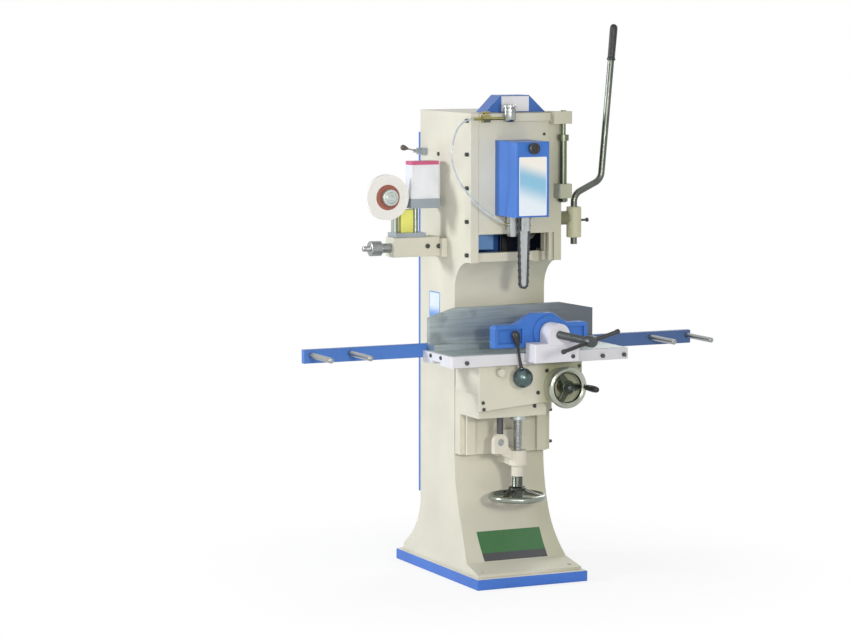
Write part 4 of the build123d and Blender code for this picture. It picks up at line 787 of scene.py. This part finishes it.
# Clamp screw: thread, plain tip and head, and the bar through the head with its rounded ends
clamp_screw = joined([
    turned("clamp_screw_thread", [
        (0, 8), (1, 9), (30, 9), (30, 11.4), (300, 11.4), (300, 16), (302, 18), (330, 18),
        (333.9, 15)], 40),
    thread("clamp_ridge", root=11, crest=13, pitch=5.0, low=36, high=296)])
laid(clamp_screw, (clamp_x, -311, clamp_z), to_front)
fitted(clamp_screw, "clamp_screw_body", dark_steel, "clamp_screw")
clamp_bar = turned("clamp_bar", [
    (-107.5, 4), (-106.5, 6.6), (-104, 8), (-95, 8), (-93, 6.6), (93, 6.6), (95, 8), (104, 8),
    (106.5, 6.6), (107.5, 4)], 32)
bar_lean = radians(74)
laid(clamp_bar, (clamp_x, -628, clamp_z), (sin(bar_lean), 0, cos(bar_lean)))
fitted(clamp_bar, "clamp_screw_body", black_steel)

# Mortising chain: two shapes of link with hooked teeth, laid round the sprocket and the bar
link_pitch, link_count = 11.5, 66


def link_plate(name, low, high, tooth):
    """One plate of a link, its tooth drawn out of the outer edge and its ends rounded."""
    plate = block(name, (-7.2, low, -3.3), (7.2, high, 1.2))
    pick(plate, lambda middle, normal: normal.z > 0.9)
    bpy.ops.mesh.extrude_region_move(
        TRANSFORM_OT_translate={"value": (tooth * mm, 0, 2.6 * mm)})
    bpy.ops.transform.resize(value=(0.4, 1, 1))
    return softened(closed(plate), lambda middle, way: abs(way.y) > 0.9 and middle.z < -3,
                    width=2.0)


def rivets():
    """The two rivets of a wide link."""
    first = turned("rivet", [(-5.8, 1.4), (-5.3, 1.9), (5.3, 1.9), (5.8, 1.4)], 8)
    laid(first, (-link_pitch / 2, 0, -0.6), to_front)
    return [first, laid(copied(first), (link_pitch, 0, 0))]


wide_link = joined([link_plate("wide_link", low=-5.9, high=-3.7, tooth=1.4),
                    link_plate("far_plate", low=3.7, high=5.9, tooth=1.4), *rivets()])
narrow_link = joined([link_plate("narrow_link", low=-3.6, high=-0.1, tooth=2.0),
                      link_plate("inner_plate", low=0.1, high=3.6, tooth=2.0)])
wheel_reach, nose_reach = link_pitch / (2 * sin(pi / 12)), 13.0
free_run = (link_count * link_pitch - pi * (wheel_reach + nose_reach)) / 2
reach_between = (free_run ** 2 + (wheel_reach - nose_reach) ** 2) ** 0.5
lean = asin((wheel_reach - nose_reach) / reach_between)
side_run = reach_between * cos(lean)
top_arc = wheel_reach * (pi + 2 * lean)
nose_arc = nose_reach * (pi - 2 * lean)
round_trip = 2 * side_run + top_arc + nose_arc


def chain_place(way):
    """X and Z from the spindle, and the angle of the outward side, at a way along the chain."""
    if way < top_arc:
        turn = way / wheel_reach - lean
        return wheel_reach * cos(turn), wheel_reach * sin(turn), turn
    way -= top_arc
    if way < side_run:
        turn = pi + lean
        return (wheel_reach * cos(turn) - way * sin(turn),
                wheel_reach * sin(turn) + way * cos(turn), turn)
    way -= side_run
    if way < nose_arc:
        turn = pi + lean + way / nose_reach
        return nose_reach * cos(turn), nose_reach * sin(turn) - reach_between, turn
    way -= nose_arc
    return (nose_reach * cos(-lean) + way * sin(lean),
            nose_reach * sin(-lean) - reach_between + way * cos(lean), -lean)


links = []
for count in range(link_count):
    away, up, turn = chain_place((count + 0.5) * round_trip / link_count)
    link = copied(narrow_link if count % 2 else wide_link)
    link.rotation_euler = (0, pi / 2 - turn, 0)
    link.location = ((spindle_x + away) * mm, chain_y * mm, (spindle_z + up) * mm)
    bpy.ops.object.transform_apply(location=True, rotation=True, scale=True)
    links.append(link)
removed(wide_link)
removed(narrow_link)
chain = joined(links, "mortise_chain_links")
fitted(chain, "head_body", chain_steel, "mortise_chain", angle=30)

# Oil cup: drawn body, rolled neck, sight ring and a knurled lid
cup = turned("oil_cup", [
    (0, 12), (1.5, 15), (6, 19), (9, 20), (30, 20), (31, 19.2), (33, 19.2), (34, 20), (44, 20),
    (45, 19), (47, 19), (47.6, 21.5), (55.5, 21.5), (57, 19.5), (57, 7), (56.4, 6.4),
    (56.4, 0.6)], 60)
fluted(cup, low=47.7, high=55.4, segments=60, depth=0.6)
cup_arm = block("cup_arm", (-10, 0, 6), (10, 22, 22))
softened(cup_arm, lambda middle, way: abs(way.y) > 0.9, width=3.0, segments=3)
cup = merged(cup, [cup_arm])
laid(cup, (-44, -226, 1521))
fitted(cup, "head_body", bright_chrome, "oil_reservoir")

# Ferrules at both ends of the oil hose
hose_ends = [((-165, -226, 1533), to_left), ((-72, -261, 1190), (-0.87, 0.18, 0.46))]
for count, (place, way) in enumerate(hose_ends):
    ferrule = turned(f"hose_ferrule_{count}", [
        (-2, 3.4), (-2, 4.6), (-1, 5.2), (3, 5.2), (3.5, 4.4), (5, 4.4), (5.5, 5), (9, 5), (10, 4),
        (10, 3.2)], 24)
    laid(ferrule, place, way)
    fitted(ferrule, "head_body", brass)

# Knob of the sharpener slide: screw, collar, knurled barrel and its small end
slide_knob = turned("sharpener_knob", [
    (0, 7.5), (1, 9), (22, 9), (24, 10), (24, 22), (26, 25), (62, 25), (64, 22), (64, 16.5),
    (66, 16), (97.5, 16), (97.5, 9.5), (98, 9.5)], 72)
fluted(slide_knob, low=26, high=62, segments=72, depth=0.9, edge=0.3)
laid(slide_knob, slide_knob_end, to_right)
slide_screw = joined([
    turned("sharpener_screw", [(60, 6), (236, 6), (238, 5)], 32),
    thread("slide_ridge", root=5.8, crest=6.9, pitch=3.5, low=100, high=234)])
laid(slide_screw, slide_knob_end, to_right)
fitted(slide_knob, "grinder_knob_body", turned_steel, "grinder_knob")
fitted(slide_screw, "grinder_knob_body", turned_steel)

# Cap over the nut of the grinding stone: a turned nose with a stepped face and a sunk middle
stone_cap = turned("stone_hub_cap", [
    (0, 25), (1, 27), (21, 27), (23, 25.4), (23, 19), (25.5, 18), (27.5, 16), (27.5, 10),
    (24.5, 8.6), (24.5, 1)])
stone_low, stone_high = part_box("grinding_wheel")
laid(stone_cap, ((stone_low.x + stone_high.x) / 2 / mm, stone_low.y / mm - 3.5,
                 (stone_low.z + stone_high.z) / 2 / mm), to_front)
fitted(stone_cap, "stone_body", cap_steel)

# Socket screws: one head with its hexagon hole, copied to each place, way and radius
screw_head = turned("socket_screw", [(-0.3, 1), (0.75, 1), (1, 0.86)], 24)
hexagon = turned("hole", [(0.35, 0.56), (1.4, 0.56)], 6)
screw_head = merged(screw_head, [hexagon], "DIFFERENCE")
screw_places = {
    "column_body": [((-229.7, 8, 1105), to_front, 8), ((-189.4, 8, 1103.6), to_front, 8),
                    ((-166, 56, 1407), to_left, 7)],
    "head_body": [((100, -192, 1478), to_front, 5)],
    "knee_body": [((40, -248, 586), to_front, 6.5)],
    "saddle_body": [((178, -300, 718), to_front, 6), ((58, -300, 708), to_front, 6.5),
                    ((25.7, -300, 637), to_front, 6.5), ((-174.5, -300, 614), to_front, 6),
                    ((-171.5, -300, 592), to_front, 6)],
    "table_body": [((-305, -256.5, 763), to_left, 6.5), ((-305, -180, 763), to_left, 6.5),
                   ((94, -415, 766), to_front, 7)],
}
for body, places in screw_places.items():
    heads = []
    for place, way, size in places:
        made = copied(screw_head)
        made.scale = (size, size, 0.55 * size)
        bpy.ops.object.transform_apply(location=True, rotation=True, scale=True)
        heads.append(laid(made, place, way, 0.3 * len(heads)))
    screws = joined(heads, body.replace("_body", "_socket_screws"))
    fitted(screws, body, dark_steel)
removed(screw_head)


# Bare plates: thin sheets with round corners, two of them with a border
def label(name, lows, highs, axis, corner=4):
    """A thin plate across an axis, with round corners."""
    plate = block(name, lows, highs)
    softened(plate, lambda middle, way: abs(way[axis]) > 0.9, width=corner, segments=4)
    return plate


def within(value, low, high, border):
    """1 between two edges, in millimetres, less a border along each."""
    return (value > (low + border) * mm) * (value < (high - border) * mm)


# Plate on the front of the chain cover: pale, with a blue band across it
cover_low, cover_high, cover_border = (-68, -344.6, 1222), (32, -343.9, 1412), 2.5


def cover_label_finish():
    """Pale printed sheet with a blue band, a soft fade and a thin border."""
    material, shader, maker, place = start("cover_label_print")
    across, up = place.x, place.z
    grain = place.noise(240.0, 2.0)
    slope = up + across * 0.3
    band = slope.between(1.25, 1.32) * (1 - slope.between(1.335, 1.385))
    tone = slope.between(1.3, 1.36).blend(srgb(222, 232, 240), srgb(236, 232, 224))
    tone = (band * 0.85).blend(tone, srgb(104, 176, 212))
    tone = (grain.between(0.4, 0.7) * 0.12).blend(tone, srgb(206, 214, 222))
    inside = (within(across, cover_low[0], cover_high[0], cover_border)
              * within(up, cover_low[2], cover_high[2], cover_border))
    tone = inside.blend(srgb(228, 232, 238), tone)
    maker.feed(shader.inputs["Base Color"], tone)
    maker.feed(shader.inputs["Roughness"], 0.36 + grain * 0.1)
    return material


cover_label = label("cover_label_plate", cover_low, cover_high, axis=1)
fitted(cover_label, "head_body", cover_label_finish())

# Plate on the left side of the column, pale with a blue border
side_low, side_high, side_border = (-166.7, 46, 857), (-165.9, 128, 944), 3.5


def side_label_finish():
    """Pale printed sheet with a blue border, fading to blue at its foot."""
    material, shader, maker, place = start("side_label_print")
    back, up = place.y, place.z
    grain = place.noise(260.0, 2.0)
    inside = (within(back, side_low[1], side_high[1], side_border)
              * within(up, side_low[2], side_high[2], side_border))
    pale = grain.between(0.35, 0.7).blend(srgb(206, 218, 238), srgb(216, 226, 243))
    tone = up.between(0.865, 0.9).blend(srgb(96, 148, 210), pale)
    maker.feed(shader.inputs["Base Color"], inside.blend(srgb(92, 138, 200), tone))
    maker.feed(shader.inputs["Roughness"], 0.34 + grain * 0.1)
    return material


side_label = label("side_label_plate", side_low, side_high, axis=0)
fitted(side_label, "column_body", side_label_finish())


# Plate on the flare of the foot: a sheet pressed on the casting, green with a dark strip below
def foot_label_finish():
    """Green printed sheet with a dark strip along its lower edge."""
    material, shader, maker, place = start("foot_label_print")
    grain = place.noise(220.0, 3.0)
    strip_top = 0.093
    strip = place.z < strip_top
    green = grain.between(0.3, 0.7).blend(srgb(60, 108, 64), srgb(67, 115, 71))
    dark = grain.between(0.3, 0.7).blend(srgb(70, 72, 74), srgb(78, 80, 82))
    maker.feed(shader.inputs["Base Color"], strip.blend(green, dark))
    maker.feed(shader.inputs["Roughness"], 0.36 + grain * 0.12)
    return material


foot_label = sheet("foot_label_plate", (0, -320, 114), (234, 89))
bpy.ops.mesh.subdivide(number_cuts=15)
bpy.ops.object.mode_set(mode="OBJECT")
modified(foot_label, "SHRINKWRAP", target=nodes["column_casting"], wrap_method="PROJECT",
         use_project_x=False, use_project_y=True, use_project_z=False,
         use_positive_direction=True, use_negative_direction=False, offset=0.0003)
modified(foot_label, "SOLIDIFY", thickness=0.0008, offset=0)
fitted(closed(foot_label), "column_body", foot_label_finish())

# Louvres pressed out of the rear panel
louvre = block("louvre", (-55, 227.5, -5), (55, 234, 5))
pick(louvre, lambda middle, normal: normal.z > 0.9)
bpy.ops.transform.resize(value=(0.94, 0.12, 1))
bpy.ops.transform.translate(value=(0, -2.8 * mm, 0))
pick(louvre, lambda middle, normal: normal.z < -0.9)
bpy.ops.mesh.inset(thickness=1.2 * mm)
bpy.ops.mesh.extrude_region_move(TRANSFORM_OT_translate={"value": (0, 0, 4 * mm)})
softened(closed(louvre), lambda middle, way: middle.y > 232 and abs(way.x) > 0.9,
         width=1.5, segments=3)
louvres = [laid(copied(louvre), (side, 0, height))
           for side in (-70, 70) for height in range(360, 580, 24)]
removed(louvre)
fitted(joined(louvres, "rear_panel_louvres"), "column_body", blue)

# Plug in the eye of the lug that carries the guide post
lug_plug = turned("lug_eye_plug", [
    (-0.5, 11), (1.2, 11), (2, 10.2), (2, 8.4), (0.6, 7.8), (0.6, 0.6)], 36)
laid(lug_plug, (-72, -226, 468), to_front)
fitted(lug_plug, "column_body", turned_steel)

# Switch lever: a pivot hub, a thin bright rod and a pear-shaped grip
switch_lean = radians(76)
switch_way = (-sin(switch_lean), 0, cos(switch_lean))
switch_rod = turned("switch_lever_rod", [(-1, 2), (0, 2.5), (30, 2.5), (33, 2.2), (33, 1.4)], 20)
laid(switch_rod, switch_pivot, switch_way)
switch_hub = turned("switch_hub", [(-8.6, 4.6), (-8, 5.8), (8, 5.8), (8.6, 4.6)], 28)
laid(switch_hub, (-194, 170, 1412), to_front)
switch_lever = merged(switch_rod, [switch_hub])
fitted(switch_lever, "switch_body", turned_steel, "switch_lever")
switch_grip = turned("switch_grip", [
    (29, 3.2), (30, 4), (33, 5), (38, 7.6), (43, 9.3), (48, 9.8), (52, 8.8), (55, 6.4), (56.6, 3.2),
    (57, 0.6)], 28)
laid(switch_grip, switch_pivot, switch_way)
fitted(switch_grip, "switch_body", brown)

# Oil hose: its route, in metres, on one smooth line
hose_route = [
    (-0.165, -0.226, 1.533), (-0.200, -0.226, 1.533), (-0.236, -0.228, 1.502),
    (-0.254, -0.230, 1.448), (-0.255, -0.232, 1.385), (-0.226, -0.235, 1.322),
    (-0.178, -0.240, 1.266), (-0.124, -0.250, 1.220), (-0.072, -0.261, 1.190),
]
hose_curve = bpy.data.curves.new("clear_oil_hose", "CURVE")
hose_curve.dimensions = "3D"
hose_curve.bevel_depth = 0.003
hose_curve.bevel_resolution = 4
hose_curve.use_fill_caps = True
hose_line = hose_curve.splines.new("NURBS")
hose_line.points.add(len(hose_route) - 1)
for point, place in zip(hose_line.points, hose_route):
    point.co = (*place, 1.0)
hose_line.order_u = 3
hose_line.use_endpoint_u = True
hose_line.resolution_u = 12
hose = bpy.data.objects.new("clear_oil_hose", hose_curve)
scene.collection.objects.link(hose)
hose.data.materials.append(nodes["oil_hose"].data.materials[0])
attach(hose, "head_body")
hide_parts("oil_hose")

# Floor, white backdrop and soft studio lights
alone()
bpy.ops.mesh.primitive_plane_add(size=60, location=(0, 0, -0.0005))
floor = bpy.context.object
floor.name = "studio_floor"


def seen(maker):
    """1 for what the camera sees, straight, in a mirror or through glass."""
    rays = ["Is Camera Ray", "Is Glossy Ray", "Is Transmission Ray"]
    first, second, third = [maker.node("ShaderNodeLightPath", None, None, ray) for ray in rays]
    return maker.sum("MAXIMUM", maker.sum("MAXIMUM", first, second), third)


floor_material, floor_shader, floor_maker, floor_place = start("studio_white")
floor_tree = floor_material.node_tree
floor_tone = floor_place.noise(0.8, 2.0).blend(srgb(238, 238, 238), srgb(246, 246, 246))
floor_maker.feed(floor_shader.inputs["Base Color"], floor_tone)
floor_shader.inputs["Roughness"].default_value = 0.9
glow = floor_maker.node("ShaderNodeEmission", None, {"Color": (1, 1, 1, 1), "Strength": 1.0})
near_glow = 0.82
floor_reach = floor_place.x.length_with(floor_place.y)
floor_share = seen(floor_maker) * (near_glow + (1 - near_glow) * floor_reach.between(0.35, 1.3))
floor_mix = floor_maker.node("ShaderNodeMixShader", None, {
    0: floor_share, 1: Value(floor_tree, floor_shader.outputs[0]), 2: glow})
floor_maker.feed(floor_tree.nodes["Material Output"].inputs["Surface"], floor_mix)
floor.data.materials.append(floor_material)

world = bpy.data.worlds.new("studio_room")
world.use_nodes = True
scene.world = world
sky = Value(world.node_tree, None)
room = sky.node("ShaderNodeBackground", None, {"Color": (0.97, 0.98, 1.0, 1.0), "Strength": 0.38})
backdrop = sky.node("ShaderNodeBackground", None, {"Color": (1, 1, 1, 1), "Strength": 1.0})
sky.feed(world.node_tree.nodes["World Output"].inputs["Surface"],
         sky.node("ShaderNodeMixShader", None, {0: seen(sky), 1: room, 2: backdrop}))


def lamp(name, place, target, size, power, colour=(1, 1, 1)):
    """A soft rectangular lamp aimed at a point."""
    data = bpy.data.lights.new(name, "AREA")
    data.shape = "RECTANGLE"
    data.size, data.size_y = size
    data.energy = power
    data.color = colour
    made = bpy.data.objects.new(name, data)
    made.location = place
    made.rotation_euler = (Vector(target) - Vector(place)).to_track_quat("-Z", "Y").to_euler()
    scene.collection.objects.link(made)


lamp("key_lamp", (-4.2, 1.2, 2.0), (0, 0, 0.9), (0.6, 0.7), 114, (0.93, 0.965, 1.0))
lamp("front_lamp", (-0.9, -4.95, 1.6), (0, 0, 0.9), (0.45, 0.45), 72, (1.0, 0.98, 0.92))
lamp("fill_lamp", (-2.4, -3.6, 2.2), (0, 0, 1.0), (2.4, 2.4), 46, (1.0, 0.99, 0.97))
lamp("rim_lamp", (3.2, 2.6, 3.2), (0, 0, 1.1), (1.8, 2.6), 56)
